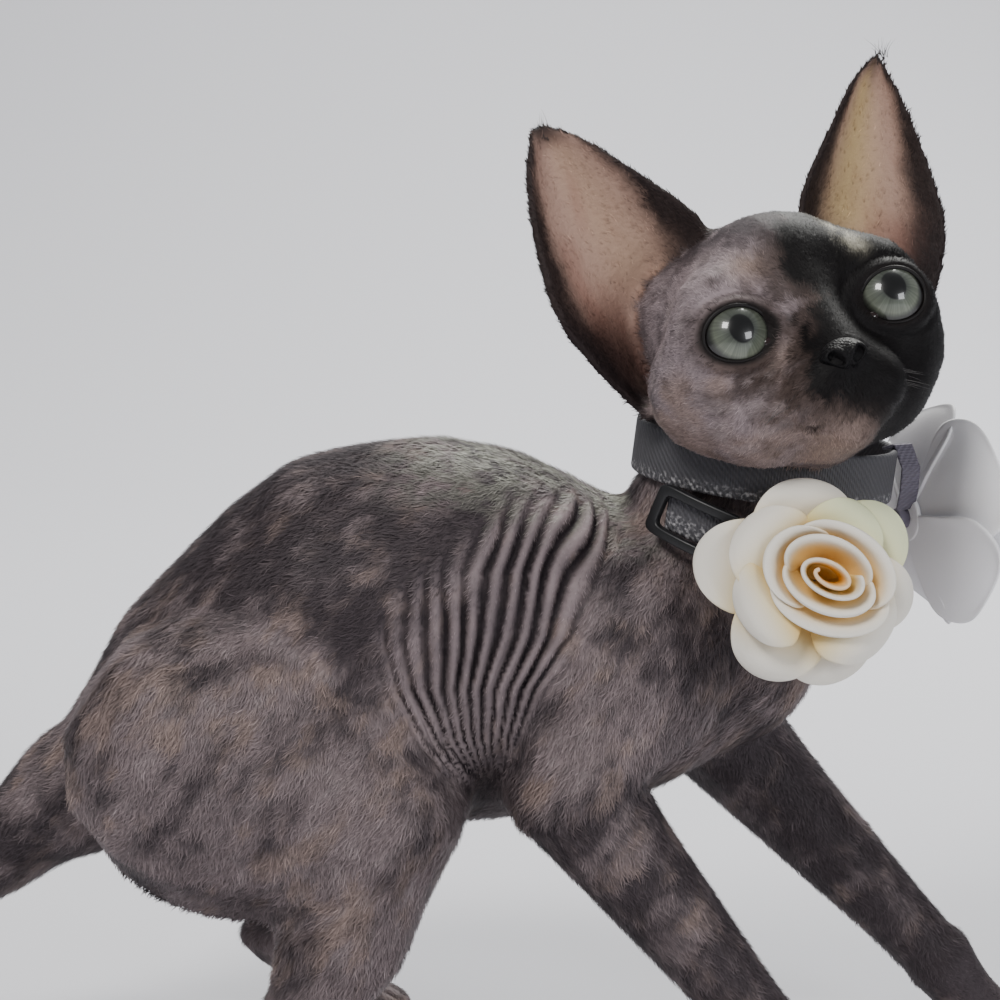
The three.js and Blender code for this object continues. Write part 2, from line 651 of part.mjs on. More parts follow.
// The legs, each in three lengths parted by flat seams
const seamOverlap = 5;
const foreElbowSeam = vec(0.42, 0, -0.91).normalize();
const kneeSeam = vec(0.5, 0, -0.87).normalize();
const kneeSeamOffset = vec(-3, 0, -12);
const upperLegsGrown = [];
const legNames = { foreRight: 'right', foreLeft: 'left', hindRight: 'right', hindLeft: 'left' };
for (const [key, { joints, skins }] of Object.entries(legs)) {
  const fore = key.startsWith('fore');
  const names = fore ? ['upper_arm', 'forearm', 'forepaw'] : ['thigh', 'shank', 'hind_paw'];
  const [top, bend, ankle, toe] = joints;
  const shin = ankle.clone().sub(bend).normalize();
  const foot = toe.clone().sub(ankle).normalize();
  const seams = [fore ? foreElbowSeam : kneeSeam, shin.add(foot).normalize()];
  const seamPoints = [fore ? bend.clone() : bend.clone().add(kneeSeamOffset), ankle];
  skins.forEach((own, i) => {
    const [from, to] = [[top, bend], [bend, ankle], [ankle, toe]][i];
    const axis = to.clone().sub(from).normalize();
    const start = i === 0 ? from : from.clone().addScaledVector(axis, -seamOverlap);
    const end = i === 2 ? to : to.clone().addScaledVector(axis, seamOverlap);
    const path = [start, start.clone().lerp(end, 0.5), end];
    const [rings, sides] = [[fore ? 7 : 9, 16], [5, 12], [7, 16]][i];
    const skin = solidOf(wrap(path, rings, sides, letInto(own)));
    if (i === 0) upperLegsGrown.push(solidOf(wrap(path, rings, sides, letInto(own), { level: gap })));
    const above = i > 0 ? seams[i - 1] : null;
    const below = i < 2 ? seams[i] : null;
    let piece = cut(skin, [torsoGrown, neckGrown, tailGrown, floor]);
    if (above) piece = piece.trimByPlane(above.toArray(), above.dot(seamPoints[i - 1]) + gap / 2);
    if (below) {
      const back = below.clone().negate();
      piece = piece.trimByPlane(back.toArray(), back.dot(seamPoints[i]) + gap / 2);
    }
    addPiece(`${names[i]}_${legNames[key]}`, piece, materials.fur);
  });
}

// The collar and what hangs on it
const fleshGrown = [torsoGrown, neckGrown, headGrown, ...upperLegsGrown];
addPiece('collar', collarBand(0), materials.webbing);
addPiece('collar_strap', cut(strapBand(0), [...fleshGrown, collarGrown]), materials.webbing);
const strapGrown = strapBand(gap);
addPiece('collar_slider', cut(sliderFrame(0), [...fleshGrown, collarGrown, strapGrown]), materials.sliderPlastic);
const wornGrown = [collarGrown, strapGrown, sliderFrame(gap)];

const creamTiers = [
  { petals: 5, reach: 1, rise: 2, curl: 5, spread: 42, turn: 20, base: -4 },
  { petals: 5, reach: 0.76, rise: 7, curl: 3, spread: 44, turn: 55, base: -2.5 },
  { petals: 3, reach: 0.5, rise: 10, curl: 1, spread: 62, turn: 10, base: -1 },
];
const whiteTiers = [
  { petals: 5, reach: 1, rise: 3, curl: 4, spread: 42, turn: 50, base: -4 },
  { petals: 4, reach: 0.7, rise: 8, curl: 2, spread: 50, turn: 80, base: -2 },
];
const creamFacing = vec(0.02, -0.97, 0.16);
const whiteFacing = vec(0.93, 0.34, 0.02);
const zUp = vec(0, 0, 1);
const cream = rose(creamRose, creamFacing, zUp, creamTiers);
const white = rose(whiteRose, whiteFacing, zUp, whiteTiers);
addPiece('rose_cream', cut(cream, [...fleshGrown, ...wornGrown]), materials.creamCloth);
addPiece('rose_white', cut(white, [...fleshGrown, ...wornGrown]), materials.whiteCloth);

// The origin is on the floor, under the middle of the whole outline
const bounds = new THREE.Box3().setFromObject(cat);
const centre = bounds.getCenter(vec());
cat.position.set(-centre.x, -centre.y, -bounds.min.z);

export default cat;
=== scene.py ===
import math

import bpy
import numpy as np
from mathutils import Matrix, Vector, kdtree


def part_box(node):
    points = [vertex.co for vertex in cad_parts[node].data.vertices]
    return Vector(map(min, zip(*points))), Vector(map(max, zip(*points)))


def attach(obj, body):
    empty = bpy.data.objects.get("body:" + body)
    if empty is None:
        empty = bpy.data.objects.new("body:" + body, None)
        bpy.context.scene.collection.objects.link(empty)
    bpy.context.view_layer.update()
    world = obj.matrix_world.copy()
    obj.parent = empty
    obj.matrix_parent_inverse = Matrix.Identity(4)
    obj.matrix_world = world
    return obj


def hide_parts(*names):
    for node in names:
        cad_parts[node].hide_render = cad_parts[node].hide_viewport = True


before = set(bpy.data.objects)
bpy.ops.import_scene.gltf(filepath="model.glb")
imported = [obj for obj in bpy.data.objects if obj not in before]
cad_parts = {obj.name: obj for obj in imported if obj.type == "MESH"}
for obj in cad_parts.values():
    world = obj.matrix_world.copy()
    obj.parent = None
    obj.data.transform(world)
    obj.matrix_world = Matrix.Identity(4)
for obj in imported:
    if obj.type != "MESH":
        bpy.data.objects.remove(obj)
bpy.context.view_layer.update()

mm = 0.001

# The head's turn and the kitten's own axes, the same values as the solids are built from
headPose = {
    "centre": (57.3, -12.0, 165.1),    # mm, in the kitten's own axes
    "yaw": 13.0,
    "pitch": 9.0,
    "roll": 14.3,
    "lift": 10.0,                      # degrees, the line that the face looks back along
    "eyeCentre": (19.0, 16.6, -2.0),   # mm, in the head's axes
    "eyeRadius": 9.0,
}


def turnOfHead():
    lift = math.radians(headPose["lift"])
    faceBasis = Matrix((
        (0, 1, 0),
        (-math.cos(lift), 0, math.sin(lift)),
        (math.sin(lift), 0, math.cos(lift)),
    )).to_4x4()
    roll = Matrix.Rotation(math.radians(headPose["roll"]), 4, "X")
    yaw = Matrix.Rotation(math.radians(headPose["yaw"]), 4, "Z")
    pitch = Matrix.Rotation(math.radians(-headPose["pitch"]), 4, "Y")
    return Matrix.Translation(headPose["centre"]) @ faceBasis @ roll @ yaw @ pitch


headTurn = turnOfHead()
eyeX, eyeY, eyeZ = headPose["eyeCentre"]
rightEyeLow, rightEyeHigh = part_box("eye_right")
bodyShift = (rightEyeLow + rightEyeHigh) / 2 - mm * (headTurn @ Vector((eyeX, -eyeY, eyeZ)))
bodyToFrame = Matrix.Translation(bodyShift) @ Matrix.Scale(mm, 4)     # kitten's mm to the frame's metres
headToFrame = bodyToFrame @ headTurn
bodyMatrix = np.array(bodyToFrame)
headMatrix = np.array(headToFrame)


def moved(points, matrix):
    points = np.asarray(points, float)
    return points @ matrix[:3, :3].T + matrix[:3, 3]


def toBody(points):        # the frame's metres to the kitten's mm
    return moved(points, np.linalg.inv(bodyMatrix))


def toHead(points):        # the frame's metres to the head's mm
    return moved(points, np.linalg.inv(headMatrix))


def turnedToHead(directions):        # directions in the frame to the head's axes
    return directions @ headMatrix[:3, :3] / mm


def unit(directions):
    return directions / np.maximum(np.linalg.norm(directions, axis=1), 1e-9)[:, None]


def deselectAll():
    if bpy.context.mode != "OBJECT":
        bpy.ops.object.mode_set(mode="OBJECT")
    bpy.ops.object.select_all(action="DESELECT")


def pick(*pieces):
    deselectAll()
    for piece in pieces:
        piece.select_set(True)
    bpy.context.view_layer.objects.active = pieces[0]
    return pieces[0]


def linkPiece(name, data):        # a mesh or a curve as a picked object of the scene
    piece = bpy.data.objects.new(name, data)
    bpy.context.scene.collection.objects.link(piece)
    return pick(piece)


def meshPiece(name, places, faces):
    mesh = bpy.data.meshes.new(name)
    mesh.from_pydata(places, [], faces)
    return linkPiece(name, mesh)


def joinPieces(name, pieces):
    joined = pick(*pieces)
    bpy.ops.object.join()
    joined.name = name
    return joined


def editAll(piece, tool, **values):        # one tool of edit mode on the whole mesh
    pick(piece)
    bpy.ops.object.mode_set(mode="EDIT")
    bpy.ops.mesh.select_all(action="SELECT")
    tool(**values)
    bpy.ops.object.mode_set(mode="OBJECT")


def faceOutward(piece):
    editAll(piece, bpy.ops.mesh.normals_make_consistent, inside=False)


def applyModifier(piece, kind, **values):
    pick(piece)
    modifier = piece.modifiers.new(kind.title(), kind)
    for key, value in values.items():
        setattr(modifier, key, value)
    bpy.ops.object.modifier_apply(modifier=modifier.name)


def readAll(items, key, width, kind=np.float32):        # a row of numbers for each item of a mesh
    flat = np.empty(len(items) * width, kind)
    items.foreach_get(key, flat)
    return flat.reshape(-1, width)


def vertexPlaces(piece):
    return readAll(piece.data.vertices, "co", 3).astype(float)


def vertexNormals(piece):
    return readAll(piece.data.vertices, "normal", 3).astype(float)


def placeVertices(piece, places):
    piece.data.vertices.foreach_set("co", places.astype(np.float32).ravel())
    piece.data.update()


def writeAttribute(piece, name, colours):        # one colour for each vertex
    layer = piece.data.color_attributes.new(name=name, type="FLOAT_COLOR", domain="POINT")
    full = np.ones((len(colours), 4), np.float32)
    full[:, :3] = colours
    layer.data.foreach_set("color", full.ravel())


def fade(value, low, high):        # 0 below low, 1 above high, smooth between
    share = np.clip((value - low) / (high - low), 0, 1)
    return share * share * (3 - 2 * share)


def hump(*parts):        # 1 in the middle, falling away; each part is a distance over its width
    return np.exp(-sum(part ** 2 for part in parts))


def softNoise(points, size, seed, layers=1):        # seeded, 0 to 1, the same on skin and coat
    cells = 32
    total = np.zeros(len(points))
    weightSum = 0.0
    for layer in range(layers):
        lattice = np.random.default_rng(seed + layer).random((cells, cells, cells))
        scaled = np.asarray(points) / (size * 0.5 ** layer)
        corner = np.floor(scaled).astype(int)
        part = fade(scaled - corner, 0, 1)
        value = np.zeros(len(points))
        for step in np.ndindex(2, 2, 2):
            share = np.prod(np.where(step, part, 1 - part), axis=1)
            value += share * lattice[tuple(((corner + step) % cells).T)]
        total += value * 0.55 ** layer
        weightSum += 0.55 ** layer
    return total / weightSum


def spread(piece, values, rounds):        # averages values over the surface's neighbours
    a, b = readAll(piece.data.edges, "vertices", 2, np.int32).T
    count = len(piece.data.vertices)
    degree = np.bincount(a, minlength=count) + np.bincount(b, minlength=count)
    degree = np.maximum(degree, 1)[:, None]
    values = np.array(values, float).reshape(count, -1)
    for _ in range(rounds):
        total = np.empty_like(values)
        for column in range(values.shape[1]):
            total[:, column] = (np.bincount(a, values[b, column], count)
                                + np.bincount(b, values[a, column], count))
        values = 0.35 * values + 0.65 * total / degree
    return values


def triangleCount(piece):
    return sum(len(face.vertices) - 2 for face in piece.data.polygons)


# Camera: the photo's distance, height and long lens
cameraView = {
    "place": (0.0, -590.9, 233.2),     # mm, in the kitten's own axes
    "tilt": 80.0,                      # degrees from straight down
    "lens": 101.5,
    "sensor": 36.0,
}


def makeCamera():
    place = bodyToFrame @ Vector(cameraView["place"])
    bpy.ops.object.camera_add(location=place, rotation=(math.radians(cameraView["tilt"]), 0, 0))
    camera = bpy.context.object
    camera.name = "studioCamera"
    camera.data.lens = cameraView["lens"]
    camera.data.sensor_width = cameraView["sensor"]
    camera.data.clip_start = 0.02
    camera.data.dof.use_dof = False
    bpy.context.scene.camera = camera


# Studio: a pale floor that sweeps up behind, and three soft lights
studio = {
    "floorColour": (0.62, 0.62, 0.66, 1.0),
    "floorHalf": 3.0,
    "sweepDistance": 1.4,
    "sweepHeight": 2.4,
    "sweepRadius": 0.7,
    "worldColour": (0.80, 0.82, 0.86, 1.0),
    "worldStrength": 0.33,
    "lights": [
        # name, place, aimed at, size, watts, colour
        ("keyLight", (-0.5, -0.95, 1.3), (0.0, 0.0, 0.10), 0.5, 19.0, (1.0, 0.98, 0.95)),
        ("fillLight", (1.05, -0.95, 0.55), (0.05, 0.0, 0.12), 0.45, 6.5, (0.95, 0.97, 1.0)),
        ("backLight", (0.35, 0.75, 1.05), (0.0, 0.0, 0.12), 0.6, 24.0, (1.0, 1.0, 0.96)),
    ],
}


def selectEdges(floor, wanted):
    bpy.ops.object.mode_set(mode="OBJECT")
    for edge in floor.data.edges:
        edge.select = all(wanted(floor.data.vertices[i].co) for i in edge.vertices)
    bpy.ops.object.mode_set(mode="EDIT")


def makeStudio():
    deselectAll()
    half = studio["floorHalf"]
    bpy.ops.mesh.primitive_plane_add(size=2 * half, location=(0, studio["sweepDistance"] - half, 0))
    floor = bpy.context.object
    floor.name = "studioFloor"
    bpy.ops.object.transform_apply(location=True)
    farEdge = studio["sweepDistance"] - 1e-4
    bpy.ops.object.mode_set(mode="EDIT")
    bpy.ops.mesh.select_all(action="DESELECT")
    bpy.ops.mesh.select_mode(type="EDGE")
    selectEdges(floor, lambda end: end.y > farEdge)
    bpy.ops.mesh.extrude_region_move(TRANSFORM_OT_translate={"value": (0, 0, studio["sweepHeight"])})
    selectEdges(floor, lambda end: end.y > farEdge and end.z < 1e-4)
    bpy.ops.mesh.bevel(offset=studio["sweepRadius"], segments=16, affect="EDGES")
    bpy.ops.object.mode_set(mode="OBJECT")
    bpy.ops.object.shade_smooth()
    floor.data.materials.append(newMaterial("paleFloor", studio["floorColour"], 0.85)["material"])
    world = bpy.data.worlds.new("studioAir")
    world.use_nodes = True
    air = world.node_tree.nodes["Background"]
    air.inputs["Color"].default_value = studio["worldColour"]
    air.inputs["Strength"].default_value = studio["worldStrength"]
    bpy.context.scene.world = world
    for name, place, target, size, watts, colour in studio["lights"]:
        aim = (Vector(target) - Vector(place)).to_track_quat("-Z", "Y").to_euler()
        bpy.ops.object.light_add(type="AREA", location=place, rotation=aim)
        light = bpy.context.object
        light.name = name
        light.data.size = size
        light.data.energy = watts
        light.data.color = colour


# Materials: each starts from one principled shader
def newMaterial(name, colour, roughness, shine=0.5):
    material = bpy.data.materials.new(name)
    material.use_nodes = True
    shader = material.node_tree.nodes["Principled BSDF"]
    shader.inputs["Base Color"].default_value = colour
    shader.inputs["Roughness"].default_value = roughness
    shader.inputs["Specular IOR Level"].default_value = shine
    return {"material": material, "tree": material.node_tree, "shader": shader}


def addNode(finish, kind, sockets, **settings):        # a socket takes a value or another node's output
    node = finish["tree"].nodes.new(f"ShaderNode{kind}")
    for key, value in settings.items():
        setattr(node, key, value)
    for key, value in sockets.items():
        if isinstance(value, bpy.types.NodeSocket):
            finish["tree"].links.new(value, node.inputs[key])
        else:
            node.inputs[key].default_value = value
    return node


def calc(finish, operation, *values):
    return addNode(finish, "Math", dict(enumerate(values)), operation=operation).outputs[0]


def vectorCalc(finish, operation, sockets):
    return addNode(finish, "VectorMath", sockets, operation=operation).outputs["Vector"]


def remap(finish, value, fromLow, fromHigh, toLow=0.0, toHigh=1.0):
    sockets = {"Value": value, "From Min": fromLow, "From Max": fromHigh, "To Min": toLow, "To Max": toHigh}
    return addNode(finish, "MapRange", sockets).outputs["Result"]


def colourRamp(finish, value, stops):
    ramp = addNode(finish, "ValToRGB", {"Fac": value})
    elements = ramp.color_ramp.elements
    elements[0].position, elements[0].color = stops[0]
    elements[1].position, elements[1].color = stops[-1]
    for position, colour in stops[1:-1]:
        elements.new(position).color = colour
    return ramp.outputs["Color"]


def objectPlace(finish):
    return addNode(finish, "TexCoord", {}).outputs["Object"]


def paint(finish, colour):        # the shader's base colour, from a node's output
    finish["tree"].links.new(colour, finish["shader"].inputs["Base Color"])


def paintFrom(finish, attribute):
    paint(finish, addNode(finish, "Attribute", {}, attribute_name=attribute).outputs["Color"])


def roughen(finish, height, strength, distance):
    bump = addNode(finish, "Bump", {"Height": height, "Strength": strength, "Distance": distance})
    finish["tree"].links.new(bump.outputs["Normal"], finish["shader"].inputs["Normal"])


def addGrain(finish, scale, detail, strength, distance):
    grain = addNode(finish, "TexNoise", {"Vector": objectPlace(finish), "Scale": scale, "Detail": detail})
    roughen(finish, grain.outputs["Fac"], strength, distance)


def finishPiece(piece, material, slot, *solids):        # solids: the nodes that the piece stands for
    piece.data.materials.append(material)
    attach(piece, "root")
    if solids:
        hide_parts(*solids)


# Skin: one closed surface over all the flesh
sides = {"right": -1, "left": 1}
fleshNodes = ["torso", "neck", "head", "ear_right", "ear_left", "tail_root", "tail_middle", "tail_tip"]
for sideName in sides:
    for legPart in ("upper_arm", "forearm", "forepaw", "thigh", "shank", "hind_paw"):
        fleshNodes.append(f"{legPart}_{sideName}")

skinMake = {
    "swell": 0.45,          # mm, closes the thin gaps between the solids
    "voxel": 0.68,
    "bodySmooth": 200,      # rounds that take the facets out of the torso
    "legShare": 0.3,        # the share of them that the legs, tail and neck get
    "backRise": 2.5,        # mm that the arch of the back stands above the smoothed solids
    "headSmooth": 9,
    "eyePlug": 0.5,         # mm that the filling of a socket stands out past the eyeball
    "eyeSink": 1.6,         # mm from the eyeball's surface down to the skin behind it
    "bodyDepth": 1.0,       # mm, room for the coat inside the solids
    "headDepth": 0.55,
    "earDepth": 0.12,
    "pawDepth": 0.55,
    "mostTriangles": 190000,
}

# The way that the hairs lie on each part, in the kitten's own axes, and how dark the part is
lieAndTone = {
    "torso": ((-0.9, 0, -0.42), 0.50),
    "neck": ((-0.45, 0, -0.9), 0.42),
    "head": ((0, 0, 0), 0.4),
    "ear": ((0, 0, 0), 0.4),
    "tail_root": ((-0.8, 0, -0.6), 0.62),
    "tail_middle": ((-0.9, 0, -0.42), 0.7),
    "tail_tip": ((-0.97, 0.2, -0.1), 0.75),
    "upper_arm": ((-0.3, 0, -0.95), 0.46),
    "forearm": ((0.5, 0, -0.86), 0.62),
    "forepaw": ((0.9, 0, -0.4), 0.68),
    "thigh": ((-0.45, 0, -0.9), 0.34),
    "shank": ((-0.45, 0, -0.9), 0.30),
    "hind_paw": ((0.9, 0, -0.4), 0.40),
}
leftForelegTone = 0.86


def joinFlesh():
    pieces = [linkPiece(f"{name}_copy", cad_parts[name].data.copy()) for name in fleshNodes]
    for side in sides.values():
        deselectAll()
        radius = mm * (headPose["eyeRadius"] + skinMake["eyePlug"])
        place = headToFrame @ Vector((eyeX, side * eyeY, eyeZ))
        bpy.ops.mesh.primitive_uv_sphere_add(segments=32, ring_count=20, radius=radius, location=place)
        bpy.ops.object.transform_apply(location=True)
        pieces.append(bpy.context.object)
    for piece in pieces:
        editAll(piece, bpy.ops.mesh.remove_doubles, threshold=0.00002)
    skin = joinPieces("skin", pieces)
    skin.data.materials.clear()
    return skin


def labelVertices(places):        # which named part each vertex belongs to
    tree = kdtree.KDTree(sum(len(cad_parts[name].data.vertices) for name in fleshNodes))
    owners = []
    for number, name in enumerate(fleshNodes):
        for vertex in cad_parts[name].data.vertices:
            tree.insert(vertex.co, len(owners))
            owners.append(number)
    tree.balance()
    return np.array([owners[tree.find(place)[1]] for place in places])


def makeSkin():
    skin = joinFlesh()
    applyModifier(skin, "DISPLACE", strength=mm * skinMake["swell"], mid_level=0)
    applyModifier(skin, "REMESH", mode="VOXEL", voxel_size=mm * skinMake["voxel"])
    names = np.array(fleshNodes)[labelVertices(vertexPlaces(skin))]
    bodyGroup = skin.vertex_groups.new(name="smoothBody")
    amount = spread(skin, np.where(names == "torso", 1.0, skinMake["legShare"]), 40)[:, 0]
    fine = np.isin(names, ["head", "ear_right", "ear_left"]).astype(float)
    amount *= 1 - spread(skin, fine, 6)[:, 0]
    for index, share in enumerate(amount):
        bodyGroup.add([index], float(share), "REPLACE")
    applyModifier(skin, "SMOOTH", factor=0.5, iterations=skinMake["headSmooth"])
    applyModifier(skin, "SMOOTH", factor=0.5, iterations=skinMake["bodySmooth"], vertex_group="smoothBody")
    print("skin remeshed:", triangleCount(skin), "triangles")
    return skin


def skinFields(skin):        # shares of each kind of place, the hairs' lie and the tone, on every vertex
    places = vertexPlaces(skin)
    head = toHead(places)
    names = np.array(fleshNodes)[labelVertices(places)]
    isEar = np.isin(names, ["ear_right", "ear_left"])
    isHead = names == "head"
    isPaw = np.array(["paw" in name for name in names])
    lie = np.zeros((len(places), 3))
    tone = np.zeros(len(places))
    for part, (direction, darkness) in lieAndTone.items():
        chosen = np.array([name.startswith(part) for name in names])
        lie[chosen] = direction
        tone[chosen] = darkness
    tone[np.isin(names, ["forearm_left", "forepaw_left", "upper_arm_left"])] = leftForelegTone
    fromNose = (head - np.array((37.0, 0.0, -13.0))) @ headMatrix[:3, :3].T
    lie[isHead] = fromNose[isHead]
    side = np.sign(head[:, 1])[:, None]
    upEar = np.hstack([np.zeros_like(side), 0.5 * side, np.full_like(side, 0.85)]) @ headMatrix[:3, :3].T
    lie[isEar] = upEar[isEar]
    shares = spread(skin, np.column_stack([isEar, isHead, isPaw]), 4)
    lie = spread(skin, unit(lie), 14)
    tone = spread(skin, tone, 60)[:, 0]
    return {"ear": shares[:, 0], "head": shares[:, 1], "paw": shares[:, 2], "lie": lie, "tone": tone}


# Loose skin: ridges that fan up over the flank from the waist
flankFolds = {
    "ridges": 12,
    "depth": 1.05,                                   # mm from the mean surface to a crest
    "heights": (70, 76, 84, 95, 106, 119, 132, 142),
    "rearEdge": (-6, -10, -17, -24, -28, -29, -22, -14),
    "frontEdge": (1, 2, 4, 9, 17, 21.5, 27, 30),
    "topAt": (0.0, 0.3, 0.5, 0.75, 1.0),             # share of the way from rear to front edge
    "topHeights": (112, 124, 134, 139, 139),
}


def foldWave(body):        # 1 on a crest, -1 in a valley, and how strongly the folds show
    x, y, z = body.T
    rear = np.interp(z, flankFolds["heights"], flankFolds["rearEdge"])
    front = np.interp(z, flankFolds["heights"], flankFolds["frontEdge"])
    across = (x - rear) / (front - rear)
    wobble = 1.5 * (softNoise(body * (1, 0.5, 0.3), 10, 41) - 0.5)
    wave = np.cos(2 * np.pi * (flankFolds["ridges"] * across + wobble + 0.5 * (y > 0)))
    wave = 2 * (0.5 + 0.5 * wave) ** 0.75 - 1                # broad crests, narrow valleys
    top = np.interp(across, flankFolds["topAt"], flankFolds["topHeights"])
    shown = fade(across, -0.05, 0.22) * (1 - fade(across, 0.88, 1.08))
    shown *= 1 - fade(z, top - 16, top + 4)
    shown *= fade(z, 66, 78) * (0.5 + 0.7 * softNoise(body, 9, 43))
    nearSide = fade(-y, 5, 14)
    farSide = 0.45 * fade(y, 6, 16)
    return wave, shown * np.maximum(nearSide, farSide), (front - rear) / flankFolds["ridges"]


# Face: the lids' almond, the mouth and the nose, in the head's own millimetres
face = {
    "lidHalfWidth": 6.9,
    "lidHalfHeight": 5.55,
    "lidCentre": (0.2, -0.3),            # outwards and up from the eye's centre
    "mouthLine": ((33.5, 0.6, -21.2), (33, 3, -22.6), (30.5, 7.0, -23.8), (28, 9.2, -24.2)),
    "philtrum": ((36.4, 0, -15.6), (35.8, 0, -18.2), (33.5, 0, -21.2)),
    "mouthDepth": 0.6,
    "mouthWidth": 0.75,
}


def almondReach(angle):        # distance of the lids' edge from the middle, at an angle from the outward side
    a = np.cos(angle) / face["lidHalfWidth"]
    b = np.sin(angle) / face["lidHalfHeight"]
    oval = 1 / np.sqrt(a * a + b * b)
    corner = 0.07 * hump((np.abs(angle) - np.pi) / 0.35)      # drawn out at the nose side
    return oval * (1 + corner)


def eyePlace(head, side):        # share of the way from the eye's middle to the lids' edge, and the angle
    out = side * head[:, 1] - eyeY - face["lidCentre"][0]
    up = head[:, 2] - eyeZ - face["lidCentre"][1]
    angle = np.arctan2(up, out)
    return np.hypot(out, up) / almondReach(angle), angle


def lineDistance(points, line):        # shortest distance from points to a line of straight runs
    best = np.full(len(points), 1e9)
    for start, end in zip(np.array(line[:-1], float), np.array(line[1:], float)):
        run = end - start
        share = np.clip(((points - start) @ run) / (run @ run), 0, 1)
        best = np.minimum(best, np.linalg.norm(points - start - share[:, None] * run, axis=1))
    return best


def blended(under, over, share):
    return under * (1 - share[:, None]) + over * share[:, None]


def sculptFace(head, normals, fields):        # moves in the head's millimetres
    onFace = fields["head"] * (head[:, 0] > 0)
    for side in sides.values():
        mirrored = head * (1, side, 1)
        groove = lineDistance(mirrored, face["mouthLine"])
        press = face["mouthDepth"] * hump(groove / face["mouthWidth"])
        lip = 0.35 * hump((groove - 1.9) / 0.9)
        head += normals * (onFace * (lip - press))[:, None]
        centre = np.array((eyeX, side * eyeY, eyeZ))
        reach, angle = eyePlace(head, side)
        out = head - centre
        length = np.linalg.norm(out, axis=1)
        front = (head[:, 0] > eyeX - 1) & (length < 16)
        lidFold = 0.55 * hump((reach - 1.55) / 0.10) * fade(np.sin(angle), -0.2, 0.5)
        underEye = 0.35 * hump((reach - 1.5) / 0.12) * fade(-np.sin(angle), 0.2, 0.8)
        lidBulge = 0.45 * hump((reach - 1.22) / 0.13)
        head += normals * (front * (lidBulge - lidFold - underEye))[:, None]
        inside = front * (1 - fade(reach, 0.97, 1.06))
        shrink = (headPose["eyeRadius"] - skinMake["eyeSink"]) / np.maximum(length, 1e-6)
        sunk = centre + out * shrink[:, None]
        head = blended(head, sunk, inside)
    philtrum = lineDistance(head, face["philtrum"])
    head -= normals * (onFace * 0.6 * hump(philtrum / 0.6))[:, None]
    return head


# Toes: three grooves part the four toes of each paw
toes = {
    "depth": 0.75,          # mm, of the grooves between the toes
    "width": 0.55,
    "length": 8.0,
}


def toeGrooves(body, fields):
    press = np.zeros(len(body))
    for name in fleshNodes:
        if "paw" in name:
            low, high = (np.array(bodyToFrame.inverted() @ corner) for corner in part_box(name))
            x, y, z = body.T
            inside = (x > high[0] - toes["length"] - 3) & (x < high[0] + 2) & (z < high[2])
            inside &= (y > low[1] - 1) & (y < high[1] + 1)
            middle = (low[1] + high[1]) / 2
            spacing = (high[1] - low[1]) / 4.4
            forward = fade(x, high[0] - toes["length"], high[0] - toes["length"] + 3)
            for step in (-1, 0, 1):
                press += inside * forward * hump((y - middle - step * spacing) / toes["width"])
    return toes["depth"] * np.clip(press, 0, 1) * fields["paw"]


def sculptSkin(skin, fields):
    places = vertexPlaces(skin)
    normals = vertexNormals(skin)
    body = toBody(places)
    depth = np.full(len(places), skinMake["bodyDepth"])
    for part in ("head", "paw", "ear"):
        depth += (skinMake[f"{part}Depth"] - depth) * fields[part]
    wave, shown, spacing = foldWave(body)
    torsoOnly = 1 - np.clip(fields["head"] + fields["ear"] + fields["paw"], 0, 1)
    lift = flankFolds["depth"] * wave * shown * np.clip(spacing / 2.4, 0, 1) * torsoOnly
    ripple = 0.16 * (softNoise(body * (1, 1, 1.6), 2.6, 47, 2) - 0.5) * torsoOnly
    arch = skinMake["backRise"] * hump((body[:, 0] + 28) / 28) * fade(body[:, 2], 92, 118)
    swell = lift + ripple + arch - (depth + skinMake["swell"]) - toeGrooves(body, fields)
    places += mm * normals * swell[:, None]
    head = sculptFace(toHead(places), turnedToHead(normals), fields)
    placeVertices(skin, moved(head, headMatrix))
    print("skin sculpted")


# Colours of coat and skin, as linear red, green and blue
coatColours = {
    "mauve": (0.195, 0.155, 0.158),
    "smoke": (0.050, 0.040, 0.044),
    "tan": (0.26, 0.19, 0.16),
    "light": (0.33, 0.275, 0.275),
    # painted highlight: the back light's sheen on the hair tips along the top of the back
    "backSheen": (0.30, 0.30, 0.25),
    # the folds: the coat's own colour, with painted light on the crests and painted shade in the valleys
    "foldCrestPaleAndLit": (0.225, 0.182, 0.19),
    "foldValleyDarkAndShaded": (0.014, 0.010, 0.012),
    "faceLilac": (0.27, 0.22, 0.23),
    "faceBrown": (0.05, 0.034, 0.029),
    "faceTan": (0.27, 0.195, 0.165),
    "black": (0.0035, 0.003, 0.0035),
    # painted highlight: back-lit hair along the crown's skyline
    "crownBacklitStrip": (0.48, 0.45, 0.36),
    "earInside": (0.36, 0.235, 0.19),
    "earRed": (0.20, 0.085, 0.065),
    "earGold": (0.56, 0.40, 0.20),
    "earFur": (0.016, 0.012, 0.013),
    "eyeRim": (0.008, 0.006, 0.006),
}
blackHalf = {        # where the black half of the face begins, by height in the head's millimetres
    "heights": (-34, -30, -26, -22, -18, -13, -8, 0, 10, 20, 27),
    "edges": (3.5, 2.5, 1.0, -5.0, -8.5, -8.0, -4.5, -1.5, -2.5, 1.0, 4.0),
    # the line of the painted highlight on the crown, in the head's millimetres
    "crownBacklitStrip": ((-1, 7, 25), (6, 10, 23), (14, 11, 20), (21, 11.5, 15.5), (25, 13.5, 10)),
}


def plainColour(name, count):
    return np.tile(np.array(coatColours[name]), (count, 1))


def mixed(colours, name, share):
    share = np.clip(share, 0, 1)[:, None]
    return colours * (1 - share) + np.array(coatColours[name]) * share


